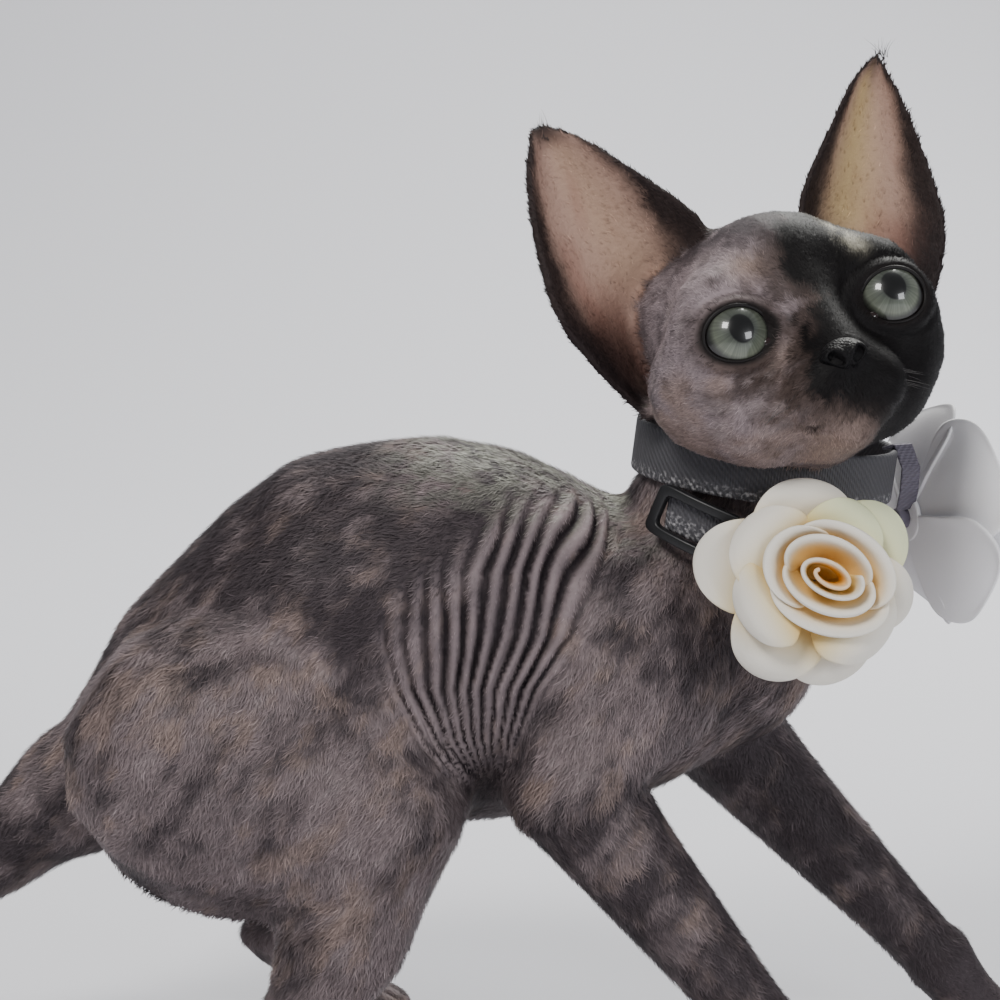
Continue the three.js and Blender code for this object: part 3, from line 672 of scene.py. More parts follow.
def markings(places, normals, fields):
    body = toBody(places)
    head = toHead(places)
    along = 0.62 * body[:, 0] + 0.78 * body[:, 2]
    over = -0.78 * body[:, 0] + 0.62 * body[:, 2]
    streaks = np.column_stack([0.55 * along, body[:, 1], over])
    broad = softNoise(body, 26, 3, 2)
    middle = softNoise(streaks, 6.0, 7, 3)
    fine = softNoise(streaks * (0.8, 1, 1), 1.5, 11, 2)
    high = fade(body[:, 2], 84, 128) * (1 - fade(body[:, 0], 22, 40))
    darkness = fields["tone"] + 0.22 * high + 0.5 * (broad - 0.5) + 1.5 * (middle - 0.5)
    colours = mixed(plainColour("mauve", len(places)), "light", 0.5 * fade(fine, 0.5, 0.75))
    colours = mixed(colours, "tan", 0.6 * fade(softNoise(streaks, 5.0, 19, 3), 0.5, 0.72))
    colours = mixed(colours, "smoke", fade(darkness + 0.75 * (fine - 0.5), 0.12, 0.92))
    # Painted shade: the coat is darker where the surface faces down, as on the belly
    colours = mixed(colours, "smoke", 0.35 * fade(-normals[:, 2], 0.3, 0.9) * (1 - fields["head"]))
    # Painted highlight: the back light's sheen on the hair tips where the top of the back faces up
    backSheenShare = fade(normals[:, 2], 0.55, 0.95) * fade(body[:, 2], 118, 130)
    backSheenShare *= fade(body[:, 0], -30, -5) * (1 - fade(body[:, 0], 34, 44))
    colours = mixed(colours, "backSheen", 0.75 * backSheenShare * fade(fine, 0.35, 0.6))
    wave, shown, _ = foldWave(body)
    offHead = 1 - np.clip(fields["head"] + fields["ear"], 0, 1)
    # Fold crests paler and valleys darker: partly the coat's own colour, partly painted light on the crests
    # and painted shade in the valleys
    colours = mixed(colours, "foldCrestPaleAndLit", 0.75 * shown * fade(wave, -0.1, 0.8) * offHead)
    colours = mixed(colours, "foldValleyDarkAndShaded", 1.2 * shown * fade(-wave, -0.45, 0.65) * offHead)
    # The crease at the waist: dark coat with painted shade where the folds start
    waist = hump((body[:, 0] + 3) / 7, (body[:, 2] - 73) / 8) * fade(-body[:, 1], 0, 8)
    colours = mixed(colours, "foldValleyDarkAndShaded", 0.8 * waist * offHead)
    colours = blended(colours, headMarkings(head), fields["head"])
    return earMarkings(colours, head, turnedToHead(normals), fields)


def headMarkings(head):
    x, y, z = head.T
    blotch = softNoise(head, 7.5, 23, 2)
    hairs = softNoise(head * (1, 1, 0.7), 2.2, 29, 2)
    coat = mixed(plainColour("faceLilac", len(head)), "smoke", 0.55 * fade(hairs, 0.45, 0.75))
    lower = 1 - fade(z, -9, -3)
    mottle = softNoise(head, 4.6, 31, 3) + 0.25 * (hairs - 0.5)
    coat = mixed(coat, "faceTan", 0.7 * lower * fade(blotch, 0.3, 0.65))
    edge = np.interp(z, blackHalf["heights"], blackHalf["edges"])
    near = hump(np.minimum(y - edge, 0) / 7.5) * fade(x, 2, 14)
    underEye = hump((y + 15) / 8, (z + 12) / 4.0) * fade(x, 2, 12)
    muzzle = hump((y + 9) / 9, (z + 18) / 6.5) * fade(x, 6, 16)
    zone = np.maximum(np.maximum(near, underEye), 0.8 * muzzle)
    brown = 0.73 - 0.50 * zone - 0.05 * lower
    patches = fade(mottle, brown - 0.16, brown + 0.12) * fade(x, -6, 8)
    coat = mixed(coat, "faceBrown", (0.35 + 0.6 * zone) * patches)
    fan = np.column_stack([0.4 * np.hypot(y + 15, z), 3.2 * np.arctan2(z + 2, y + 15), x * 0.2])
    rays = softNoise(fan, 0.8, 37, 2)
    coat = mixed(coat, "light", 0.45 * fade(rays, 0.5, 0.8) * fade(-y, 8, 14) * (x > -4))
    hairline = fade(z + 0.25 * y, 10, 19)
    coat = mixed(coat, "smoke", 0.95 * hairline * fade(hairs + 0.3 * blotch, 0.15, 0.6))
    browSpot = hump((y + 10.5) / 3.6, (z - 10.5) / 3.2) * (x > 5)
    coat = mixed(coat, "tan", 0.8 * browSpot)
    behind = 1 - fade(x, -14, 0)
    coat = mixed(coat, "smoke", 0.75 * behind * fade(blotch, 0.3, 0.7))
    ragged = 7.0 * (blotch - 0.5) + 8.0 * (hairs - 0.5)
    black = fade(y - edge + ragged, -2.6, 2.2) * fade(x, -16, -2)
    coat = mixed(coat, "black", 0.97 * black)
    # Painted highlight: a pale strip of back-lit hair along the top of the crown
    crownHighlightShare = hump(lineDistance(head, blackHalf["crownBacklitStrip"]) / 1.9)
    coat = mixed(coat, "crownBacklitStrip", 0.9 * crownHighlightShare * fade(hairs, 0.25, 0.6))
    chin = hump((y + 4) / 6, (z + 28) / 3.5) * (x > 12)
    coat = mixed(coat, "faceTan", 0.95 * chin * (1 - 0.5 * black))
    for side in sides.values():
        reach, _ = eyePlace(head, side)
        nearEye = (x > 8) * (np.abs(side * y - eyeY) < 12)
        coat = mixed(coat, "faceBrown", 0.85 * nearEye * (1 - black) * (1 - fade(reach, 1.08, 1.6)))
        coat = mixed(coat, "eyeRim", nearEye * (1 - fade(reach, 1.06, 1.30)))
    coat = mixed(coat, "black", hump((x - 36) / 5, y / 6, (z + 14) / 5))        # round the nose
    lips = lineDistance(np.abs(head * (0, 1, 0)) + head * (1, 0, 1), face["mouthLine"])
    return mixed(coat, "black", 0.8 * (1 - fade(lips, 0.5, 1.6)) * (x > 10))


# Ears: the rims follow the same edges as the cups
earShape = {
    "innerEdge": ((8, 17), (9.2, 26.5), (20.4, 40.6), (29.4, 50.6), (37, 55.6)),
    "outerEdge": ((30, -10), (36.5, 0), (43.4, 14), (44, 30), (42.4, 45), (39.6, 55.2)),
    "sway": {"right": -2.8, "left": 1.6},
    "narrowing": {"right": 0.0, "left": 3.4},
}


def earPlace(head):        # how far up the ear, and from its inner edge to its outer one
    up = np.clip((head[:, 2] - 6) / 50, 0, 1)
    inner = np.array(earShape["innerEdge"])
    outer = np.array(earShape["outerEdge"])
    result = np.zeros(len(head))
    for name, side in sides.items():
        chosen = np.sign(head[:, 1]) == side
        sway = earShape["sway"][name] * up * up
        low = np.interp(head[:, 2], inner[:, 1], inner[:, 0]) + sway + earShape["narrowing"][name]
        high = np.interp(head[:, 2], outer[:, 1], outer[:, 0]) + sway
        share = (side * head[:, 1] - low) / np.maximum(high - low, 2)
        result[chosen] = share[chosen]
    return up, result


def earMarkings(colours, head, normals, fields):
    up, across = earPlace(head)
    inside = fields["ear"] * fade(normals[:, 0], -0.15, 0.35)
    veins = softNoise(head * (1, 1.6, 0.5), 7, 53, 3)
    skin = plainColour("earInside", len(head))
    skin = mixed(skin, "earRed", 0.75 * (1 - fade(up, 0.0, 0.42)) * fade(veins + 0.15, 0.3, 0.8))
    gold = hump((across - 0.42) / 0.22) * fade(up, 0.15, 0.4) * (1 - fade(up, 0.85, 1.0))
    skin = mixed(skin, "earGold", gold * np.where(head[:, 1] > 0, 0.9, 0.15))
    skin = mixed(skin, "earRed", 0.35 * fade(veins, 0.5, 0.8))
    low = (1 - up) ** 1.5
    ragged = 0.10 * (softNoise(head * (1, 1, 0.6), 3.0, 59, 2) - 0.5)
    innerRim = 1 - fade(across + ragged, 0.03 + 0.16 * low, 0.16 + 0.34 * low)
    outerRim = fade(across + ragged, 0.86 - 0.20 * low, 0.97 - 0.06 * low)
    rim = np.maximum(np.maximum(innerRim, outerRim), fade(up, 0.88, 0.99))
    skin = mixed(skin, "earFur", 0.96 * rim)
    deep = hump((across - 0.75) / 0.3) * (1 - fade(up, 0.0, 0.30))
    skin = mixed(skin, "earFur", 0.8 * deep)
    colours = mixed(colours, "earFur", 0.95 * fields["ear"])
    return blended(colours, skin, inside)


def coatFinish(name, roughness, shine):
    finish = newMaterial(name, (0.15, 0.12, 0.12, 1), roughness, shine)
    paintFrom(finish, "coatColour")
    return finish


def finishSkin(skin):
    excess = skinMake["mostTriangles"] / triangleCount(skin)
    if excess < 1:
        applyModifier(skin, "DECIMATE", ratio=excess)
    pick(skin)
    bpy.ops.object.shade_smooth()
    fields = skinFields(skin)
    writeAttribute(skin, "coatColour", markings(vertexPlaces(skin), vertexNormals(skin), fields))
    editAll(skin, bpy.ops.uv.smart_project, angle_limit=math.radians(66), island_margin=0.001)
    skin.data.uv_layers.active.name = "OFBake"
    finish = coatFinish("coatSkin", 0.62, 0.12)
    addGrain(finish, 900.0, 3.0, 0.45, 0.0006)
    finishPiece(skin, finish["material"], "fur", *fleshNodes)
    print("skin finished:", triangleCount(skin), "triangles")
    return fields


# Coat: short tapered tufts, rooted in the skin and laid along it
coat = {
    "tufts": 420000,
    "inPiece": 62000,
    "bodyLength": 2.5,        # mm
    "headLength": 1.5,
    "pawLength": 1.3,
    "earLength": 1.5,
    "width": 0.25,
    "lift": 14.0,             # degrees that a tuft stands off the skin
    "rootDepth": 0.12,        # mm that a tuft starts below the skin
    "foldLie": (0.15, 0, -1.0),                  # the way that tufts lie along the folds
    "shade": (0.72, 0.72, 1.0, 1.0, 1.22),       # darker at the root, lighter at the tip
    "patch": 0.003,           # side of a tuft's patch on its map
    "seed": 5,
}


def coatPiece(name, tufts, finish):        # joins many tufts, two faces each, into one mesh
    count = len(tufts["root"])
    corners = np.stack([tufts[key] for key in ("rootB", "rootA", "middleA", "middleB", "tip")], axis=1)
    mesh = bpy.data.meshes.new(name)
    loops = np.arange(count)[:, None] * 5 + np.array((0, 1, 2, 3, 3, 2, 4))
    firsts = np.arange(count)[:, None] * 7 + np.array((0, 4))
    mesh.vertices.add(corners.shape[0] * 5)
    mesh.vertices.foreach_set("co", corners.astype(np.float32).ravel())
    mesh.loops.add(loops.size)
    mesh.loops.foreach_set("vertex_index", loops.astype(np.int32).ravel())
    mesh.polygons.add(firsts.size)
    mesh.polygons.foreach_set("loop_start", firsts.astype(np.int32).ravel())
    mesh.update(calc_edges=True)
    mesh.validate()
    patch = coat["patch"] / 2 * np.array(((-1, -1), (1, -1), (1, 0), (-1, 0), (-1, 0), (1, 0), (0, 1)))
    unwrap = (tufts["unwrap"][:, None, :] + patch[None]).astype(np.float32)
    mesh.uv_layers.new(name="OFBake").data.foreach_set("uv", unwrap.ravel())
    piece = linkPiece(name, mesh)
    shade = np.tile(coat["shade"], count)[:, None]
    writeAttribute(piece, "coatColour", np.repeat(tufts["colour"], 5, axis=0) * shade)
    bpy.ops.object.shade_smooth()
    skinNormals = np.repeat(tufts["normal"], 5, axis=0)
    own = vertexNormals(piece)
    own *= np.where(np.sum(own * skinNormals, axis=1) < 0, -1, 1)[:, None]
    mesh.normals_split_custom_set_from_vertices(unit(0.75 * skinNormals + 0.25 * own).tolist())
    finishPiece(piece, finish, "fur")


def coverage(places, normals, fields):        # how thickly tufts grow
    head = toHead(places)
    body = toBody(places)
    inside = fields["ear"] * fade(turnedToHead(normals)[:, 0], -0.15, 0.35)
    up, across = earPlace(head)
    low = (1 - up) ** 1.5
    rim = 1 - fade(across, 0.05 + 0.16 * low, 0.2 + 0.3 * low) * (1 - fade(across, 0.84 - 0.18 * low, 0.97))
    grow = (1 + 0.9 * fields["head"]) * (1 - inside * (1 - rim) * 0.86)
    for side in sides.values():
        reach, _ = eyePlace(head, side)
        nearEye = (head[:, 0] > 8) & (np.abs(side * head[:, 1] - eyeY) < 12)
        grow *= np.where(nearEye, fade(reach, 1.14, 1.4), 1)
    fromNose = np.linalg.norm((head - (36.5, 0, -13.2)) / (5, 5.0, 3.4), axis=1)
    grow *= fade(fromNose, 0.95, 1.2) * (1 - 0.6 * np.clip(foldWave(body)[1], 0, 1))
    return grow * (body[:, 2] > 1.2)        # none under the feet


def sowTufts(skin, fields, random):        # roots spread over the skin, and what the skin is like there
    mesh = skin.data
    mesh.calc_loop_triangles()
    triangles = readAll(mesh.loop_triangles, "vertices", 3, np.int32)
    loops = readAll(mesh.loop_triangles, "loops", 3, np.int32)
    unwrap = readAll(mesh.uv_layers["OFBake"].data, "uv", 2)
    places = vertexPlaces(skin)
    normals = vertexNormals(skin)
    grow = coverage(places, normals, fields)
    a, b, c = (places[triangles[:, i]] for i in range(3))
    area = np.linalg.norm(np.cross(b - a, c - a), axis=1) * grow[triangles].mean(axis=1)
    chosen = random.choice(len(triangles), coat["tufts"], p=area / area.sum())
    chosen.sort()
    corner = triangles[chosen]
    shares = random.dirichlet((1, 1, 1), len(chosen))[:, :, None]

    def atRoots(values):
        return (values[corner] * shares).sum(axis=1)

    own = {key: atRoots(fields[key][:, None])[:, 0] for key in ("ear", "head", "paw", "tone")}
    own["lie"] = atRoots(fields["lie"])
    return atRoots(places), unit(atRoots(normals)), own, (unwrap[loops[chosen]] * shares).sum(axis=1)


def combedLie(root, normal, lie, shown, random):        # the way that each tuft lies, and across it
    swirl = softNoise(toBody(root), 6.0, 61, 2) - 0.5
    lie = unit(lie - normal * np.sum(lie * normal, axis=1)[:, None] + 1e-6)
    foldLie = np.array(coat["foldLie"])
    alongFold = foldLie - normal * (normal @ foldLie)[:, None]
    lie = unit(lie * (1 - 0.85 * shown[:, None]) + 0.85 * shown[:, None] * alongFold)
    turn = (1.5 * swirl + random.normal(0, 0.22, len(root))) * (1 - 0.7 * np.clip(shown, 0, 1))
    lie = lie * np.cos(turn)[:, None] + np.cross(normal, lie) * np.sin(turn)[:, None]
    return lie, np.cross(normal, lie)


def makeCoat(skin, fields):
    random = np.random.default_rng(coat["seed"])
    root, normal, own, unwrap = sowTufts(skin, fields, random)
    count = len(root)
    body = toBody(root)
    _, shown, _ = foldWave(body)
    lie, across = combedLie(root, normal, own["lie"], shown, random)
    shown = np.clip(shown, 0, 1)
    length = np.full(count, coat["bodyLength"])
    for part in ("head", "paw", "ear"):
        length += (coat[f"{part}Length"] - length) * own[part]
    length *= mm * random.uniform(0.65, 1.25, count) * (1 - 0.62 * shown)
    lift = np.radians(coat["lift"]) * random.uniform(0.4, 1.6, count) * (1 - 0.5 * shown)
    width = mm * coat["width"] * random.uniform(0.7, 1.25, count) * (1 - 0.3 * own["head"])
    curl = across * (random.normal(0, 0.22, count) * length)[:, None]
    half = (width / 2)[:, None] * across
    base = root - normal * mm * coat["rootDepth"]
    stretch = (length / 2)[:, None]
    lift = lift[:, None]
    middle = base + stretch * (lie * np.cos(lift * 1.25) + normal * np.sin(lift * 1.25)) + 0.25 * curl
    tip = middle + stretch * (lie * np.cos(lift * 0.5) + normal * np.sin(lift * 0.5)) + 0.6 * curl
    colour = markings(root, normal, own) * np.exp(random.normal(0, 0.17, count))[:, None]
    tufts = {
        "root": root, "rootA": base - half, "rootB": base + half, "middleA": middle - 0.8 * half,
        "middleB": middle + 0.8 * half, "tip": tip, "normal": normal, "colour": colour, "unwrap": unwrap,
    }
    finish = coatFinish("coatTufts", 0.55, 0.16)["material"]
    order = np.argsort(body[:, 0], kind="stable")
    for number, first in enumerate(range(0, count, coat["inPiece"])):
        part = order[first:first + coat["inPiece"]]
        coatPiece(f"coat_{number + 1}", {key: value[part] for key, value in tufts.items()}, finish)
    print("coat grown:", count, "tufts")


# Eyes: a ball with a low dome in front, its iris and pupil painted about the gaze
eyes = {
    "gaze": {"right": (9, 0.1, 0.2), "left": (9, -0.1, 1.3)},      # in the head's axes
    "irisRadius": 6.35,                                            # mm
    "pupil": (2.5, 2.95),
    "dome": 0.45,
    "inset": 0.05,
    "rings": (                                                     # share of the radius, colour
        (0.0, (0.030, 0.036, 0.032, 1)), (0.42, (0.046, 0.052, 0.044, 1)), (0.62, (0.090, 0.102, 0.080, 1)),
        (0.82, (0.108, 0.120, 0.090, 1)), (0.93, (0.026, 0.028, 0.022, 1)), (1.0, (0.004, 0.003, 0.003, 1)),
    ),
}


def eyeFrame(name):        # the eye's middle, and its own axes in the frame: right, up and along the gaze
    centre = headToFrame @ Vector((eyeX, sides[name] * eyeY, eyeZ))
    turn = headTurn.to_3x3()
    gaze = (turn @ Vector(eyes["gaze"][name])).normalized()
    across = (turn @ Vector((0, 0, 1))).cross(gaze).normalized()
    return centre, Matrix((across, gaze.cross(across), gaze)).transposed()


def eyeFinish(name, centre, rotation):
    finish = newMaterial(f"iris_{name}", (0.2, 0.23, 0.18, 1), 0.3, 0.3)
    local = addNode(finish, "Mapping", {
        "Vector": objectPlace(finish), "Location": centre,
        "Rotation": rotation.to_euler(), "Scale": (mm, mm, mm),
    }, vector_type="TEXTURE").outputs["Vector"]
    parts = addNode(finish, "SeparateXYZ", {"Vector": local}).outputs

    def ovalRadius(halfWidth, halfHeight):
        x = calc(finish, "DIVIDE", parts["X"], halfWidth)
        y = calc(finish, "DIVIDE", parts["Y"], halfHeight)
        squares = calc(finish, "ADD", calc(finish, "MULTIPLY", x, x), calc(finish, "MULTIPLY", y, y))
        return calc(finish, "SQRT", squares)

    rings = colourRamp(finish, ovalRadius(eyes["irisRadius"], eyes["irisRadius"]), eyes["rings"])
    spokes = vectorCalc(finish, "NORMALIZE", {0: vectorCalc(finish, "MULTIPLY", {0: local, 1: (1, 1, 0)})})
    fibres = addNode(finish, "TexNoise", {"Vector": spokes, "Scale": 11.0, "Detail": 4.0}).outputs["Fac"]
    fibreTone = remap(finish, fibres, 0.3, 0.7, 0.72, 1.3)
    lidShadow = remap(finish, parts["Y"], -4.5, 6.0, 1.25, 0.38)
    tone = calc(finish, "MULTIPLY", fibreTone, lidShadow)
    pupil = remap(finish, ovalRadius(*eyes["pupil"]), 0.95, 1.06)
    shaded = vectorCalc(finish, "SCALE", {0: rings, "Scale": tone})
    paint(finish, vectorCalc(finish, "SCALE", {0: shaded, "Scale": pupil}))
    finish["shader"].inputs["Coat Weight"].default_value = 1.0
    finish["shader"].inputs["Coat Roughness"].default_value = 0.03
    return finish["material"]


def makeEye(name):
    centre, rotation = eyeFrame(name)
    deselectAll()
    radius = headPose["eyeRadius"] - eyes["inset"]
    bpy.ops.mesh.primitive_uv_sphere_add(segments=96, ring_count=72, radius=radius)
    eye = bpy.context.object
    eye.name = f"eyeball_{name}"
    places = vertexPlaces(eye)
    away = np.degrees(np.arccos(np.clip(places[:, 2] / np.linalg.norm(places, axis=1), -1, 1)))
    dome = eyes["dome"] * (1 - fade(away, 12, 46))
    places *= (1 + dome / headPose["eyeRadius"])[:, None]
    placeVertices(eye, places)
    eye.data.transform(Matrix.Translation(centre) @ rotation.to_4x4() @ Matrix.Scale(mm, 4))
    pick(eye)
    bpy.ops.object.shade_smooth()
    finishPiece(eye, eyeFinish(name, centre, rotation), "eye", f"eye_{name}")


# Lids: a wet dark rim round each eye, and the small corner at the nose side
lids = {
    "steps": 72,
    "outFromEye": 0.22,       # mm, how far the rim's middle stands off the eyeball
    "thickness": 0.42,
    "rimColour": (0.004, 0.0025, 0.0025, 1),
    "cornerColour": (0.018, 0.010, 0.010, 1),
    "cornerSize": (0.9, 1.5, 1.0),
    "cornerAngle": 208,       # degrees from the outward side
}


def lidPoint(side, angle, share, out):        # a point on the lids' edge, in the head's millimetres
    reach = almondReach(np.array([angle]))[0] * share
    y = face["lidCentre"][0] + reach * math.cos(angle)
    z = face["lidCentre"][1] + reach * math.sin(angle)
    radius = headPose["eyeRadius"] + out
    x = math.sqrt(max(radius * radius - y * y - z * z, 1))
    return Vector((eyeX + x, side * (eyeY + y), eyeZ + z))


def makeTube(name, points, radii, closed, thickness):
    curve = bpy.data.curves.new(name, "CURVE")
    curve.dimensions = "3D"
    curve.bevel_depth = thickness
    curve.bevel_resolution = 4
    curve.use_fill_caps = True
    line = curve.splines.new("POLY")
    line.points.add(len(points) - 1)
    line.use_cyclic_u = closed
    for point, place, radius in zip(line.points, points, radii):
        point.co = (*place, 1)
        point.radius = radius
    linkPiece(name, curve)
    bpy.ops.object.convert(target="MESH")
    piece = bpy.context.object
    faceOutward(piece)
    bpy.ops.object.shade_smooth()
    return piece


def makeLids():
    rimFinish = newMaterial("lidRim", lids["rimColour"], 0.5, 0.25)["material"]
    cornerFinish = newMaterial("lidCorner", lids["cornerColour"], 0.12)["material"]
    for name, side in sides.items():
        points, radii = [], []
        for step in range(lids["steps"]):
            angle = 2 * math.pi * step / lids["steps"] - math.pi
            points.append(headToFrame @ lidPoint(side, angle, 1.0, lids["outFromEye"]))
            upper = 0.5 + 0.5 * math.sin(angle)
            radii.append(0.75 + 0.5 * upper + 0.5 * hump((abs(angle) - math.pi) / 0.3))
        rim = makeTube(f"lid_rim_{name}", points, radii, True, mm * lids["thickness"])
        finishPiece(rim, rimFinish, "eye")
        place = headToFrame @ lidPoint(side, math.radians(lids["cornerAngle"]), 0.97, 0.0)
        bpy.ops.mesh.primitive_uv_sphere_add(segments=24, ring_count=16, radius=mm, location=place)
        corner = bpy.context.object
        corner.name = f"lid_corner_{name}"
        corner.scale = lids["cornerSize"]
        corner.rotation_euler = headTurn.to_euler()
        bpy.ops.object.transform_apply(location=True, rotation=True, scale=True)
        bpy.ops.object.shade_smooth()
        finishPiece(corner, cornerFinish, "eye")


# Nose: a small leathery wedge with two comma-shaped nostrils
nose = {
    "centre": (35.3, -0.8, -13.2),       # mm, in the head's axes
    "halfSize": (3.4, 5.0, 3.5),
    "nostrils": ((38.0, 2.9, -13.6), (38.4, 1.9, -14.9)),
    "nostrilRadius": 1.15,
    "nostrilDepth": 1.7,
    "colour": (0.0035, 0.003, 0.0035, 1),
}


def makeNose():
    deselectAll()
    bpy.ops.mesh.primitive_uv_sphere_add(segments=96, ring_count=64, radius=1)
    leather = bpy.context.object
    leather.name = "nose_leather"
    places = vertexPlaces(leather)
    x, y, z = places.T
    narrow = 1 - 0.42 * fade(-z, -0.1, 1.0)                 # a wedge, narrow at the lip
    flatTop = np.where(z > 0, np.sign(z) * np.abs(z) ** 1.25, z)
    places = np.column_stack([x, y * narrow, flatTop]) * nose["halfSize"]
    split = hump(places[:, 1] / 0.55) * fade(-places[:, 2], -1.0, 1.5)
    places[:, 0] -= 0.7 * split * (places[:, 0] > 0)
    centre = np.array(nose["centre"])
    for side in sides.values():
        line = [(px - centre[0], side * py, pz - centre[2]) for px, py, pz in nose["nostrils"]]
        hole = lineDistance(places, line)
        places[:, 0] -= nose["nostrilDepth"] * (1 - fade(hole, 0.55, nose["nostrilRadius"] + 0.3))
        places[:, 0] += 0.25 * hump((hole - 1.75) / 0.5) * (places[:, 0] > 0)        # the nostril's wing
    placeVertices(leather, moved(places + centre, headMatrix))
    faceOutward(leather)
    bpy.ops.object.shade_smooth()
    finish = newMaterial("noseLeather", nose["colour"], 0.5, 0.16)
    pebbles = addNode(finish, "TexVoronoi", {"Vector": objectPlace(finish), "Scale": 1900.0})
    roughen(finish, pebbles.outputs["Distance"], 0.5, 0.0003)
    finishPiece(leather, finish["material"], "ear_skin")


# Whiskers: few, short and curled, as the breed has them
whiskers = {
    "rows": 2,
    "inRow": 4,
    "length": (5.5, 9.0),
    "thickness": 0.075,
    "colour": (0.05, 0.045, 0.045, 1),
    "seed": 17,
}


def joinHairs(name, hairs, taper, style, finishName, roughness):        # hairs in the head's mm
    strands = []
    for points in hairs:
        radii = [1 - taper * t for t in np.linspace(0, 1, len(points))]
        places = [headToFrame @ Vector(point) for point in points]
        strands.append(makeTube("hair", places, radii, False, mm * style["thickness"]))
    material = newMaterial(finishName, style["colour"], roughness)["material"]
    finishPiece(joinPieces(name, strands), material, "fur")


def makeWhiskers():
    random = np.random.default_rng(whiskers["seed"])
    run = np.linspace(0, 1, 9)
    hairs = []
    for side in sides.values():
        for row in range(whiskers["rows"]):
            for place in range(whiskers["inRow"]):
                start = np.array((30.5 - 2.2 * place, side * (8.6 + 1.0 * place), -16.8 - 2.1 * row))
                out = np.array((0.45 - 0.25 * place / 3, side * 0.9, -0.25 - 0.1 * row))
                out += random.normal(0, 0.08, 3)
                out /= np.linalg.norm(out)
                length = random.uniform(*whiskers["length"])
                curl = np.array((-0.3, 0, random.uniform(-0.5, 0.2)))
                hairs.append([start + out * length * t + curl * length * 0.45 * t * t for t in run])
    joinHairs("whiskers", hairs, 0.85, whiskers, "whiskerHair", 0.4)


# Ear tips: a few long hairs that end each ear in a point
tipHairs = {
    "count": 26,
    "length": (2.0, 4.2),        # mm
    "thickness": 0.07,
    "colour": (0.012, 0.009, 0.009, 1),
    "seed": 23,
}


def makeTipHairs():
    random = np.random.default_rng(tipHairs["seed"])
    run = np.linspace(0, 1, 6)
    hairs = []
    for name, side in sides.items():
        places = toHead([vertex.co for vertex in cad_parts[f"ear_{name}"].data.vertices])
        tip = places[np.argmax(places[:, 2])]
        for _ in range(tipHairs["count"]):
            start = tip + random.uniform((-0.6, -1.6, -3.4), (0.2, 1.6, -0.9))
            out = np.array((random.normal(0, 0.2), side * 0.15 + random.normal(0, 0.22), 1.0))
            out /= np.linalg.norm(out)
            length = random.uniform(*tipHairs["length"])
            bend = random.normal(0, 0.25, 3)
            hairs.append([start + length * (out * t + bend * t * t) for t in run])
    joinHairs("ear_tip_hairs", hairs, 0.9, tipHairs, "tipHair", 0.5)


# Collar: a webbing ring round the neck, its second strap and the slider, as the solids have them
collar = {
    "centre": (56, 0, 138.2),            # mm, in the kitten's own axes
    "radii": (27, 25.6),
    "slope": 7.0,                        # degrees, lower in front
    "width": 11.3,
    "thickness": 1.6,
    "strap": {
        "from": 228, "to": 275,          # degrees round the neck
        "drop": -9.8, "fall": -4.6, "out": 2.6, "width": 8.4, "thickness": 1.4,
    },
    "slider": {"length": 17, "width": 11, "bar": 2.0, "thickness": 1.8, "drop": -11.6, "tilt": -16.0},
    "loop": ((82.7, -2.0, 140.6), (85.0, -3.0, 141.4), (86.8, -3.2, 136.5), (86.9, -0.6, 131),
             (86.8, 3.4, 126.6)),
    "loopBand": (4.6, 0.7, 22.0),        # width, thickness and length
    "loopBroad": (1, 0.45, 0),           # the way that its width lies
    "cloth": (0.075, 0.073, 0.082, 1),
    "thread": (0.36, 0.35, 0.36, 1),
    "loopColour": (0.15, 0.135, 0.175, 1),
    "plastic": (0.008, 0.008, 0.009, 1),
}


def collarPoint(angle, out, up):
    slope = math.radians(collar["slope"])
    x = math.cos(angle) * (collar["radii"][0] + out)
    y = math.sin(angle) * (collar["radii"][1] + out)
    forward = x * math.cos(slope) + up * math.sin(slope)
    upward = up * math.cos(slope) - x * math.sin(slope)
    return bodyToFrame @ (Vector((forward, y, upward)) + Vector(collar["centre"]))


def bandSection(width, thickness):        # a flat band's section with soft edges: outwards and up, in mm
    section = []
    radius = thickness / 2
    straight = width - thickness
    for side in (1, -1):
        section += [(side * radius, side * (step / 14 - 0.5) * straight) for step in range(15)]
        for step in range(1, 5):
            bend = math.pi * step / 5
            section.append((side * radius * math.cos(bend), side * (straight / 2 + radius * math.sin(bend))))
    return section


def makeBand(name, placeAt, steps, closed, width, thickness, runLength):
    section = bandSection(width, thickness)
    count = len(section)
    rings = steps if closed else steps + 1
    places = [tuple(placeAt(ring / steps, out, up)) for ring in range(rings) for out, up in section]
    faces, weave = [], []
    for ring in range(steps):
        here, there = ring * count, ((ring + 1) % rings) * count
        start, end = ring / steps * runLength, (ring + 1) / steps * runLength
        for i in range(count):
            j = (i + 1) % count
            faces.append((here + i, there + i, there + j, here + j))
            lowUp, highUp = section[i][1], section[j][1]
            weave += [(start, lowUp), (end, lowUp), (end, highUp), (start, highUp)]
    if not closed:
        for ring, turn in ((0, 1), (steps, -1)):
            first = ring * count
            faces.append(tuple(first + i for i in range(count))[::turn])
            weave += [(ring / steps * runLength, up) for _, up in section][::turn]
    piece = meshPiece(name, places, faces)
    piece.data.uv_layers.new(name="weave").data.foreach_set("uv", np.array(weave, np.float32).ravel())
    faceOutward(piece)
    bpy.ops.object.shade_smooth_by_angle(angle=math.radians(50))
    return piece


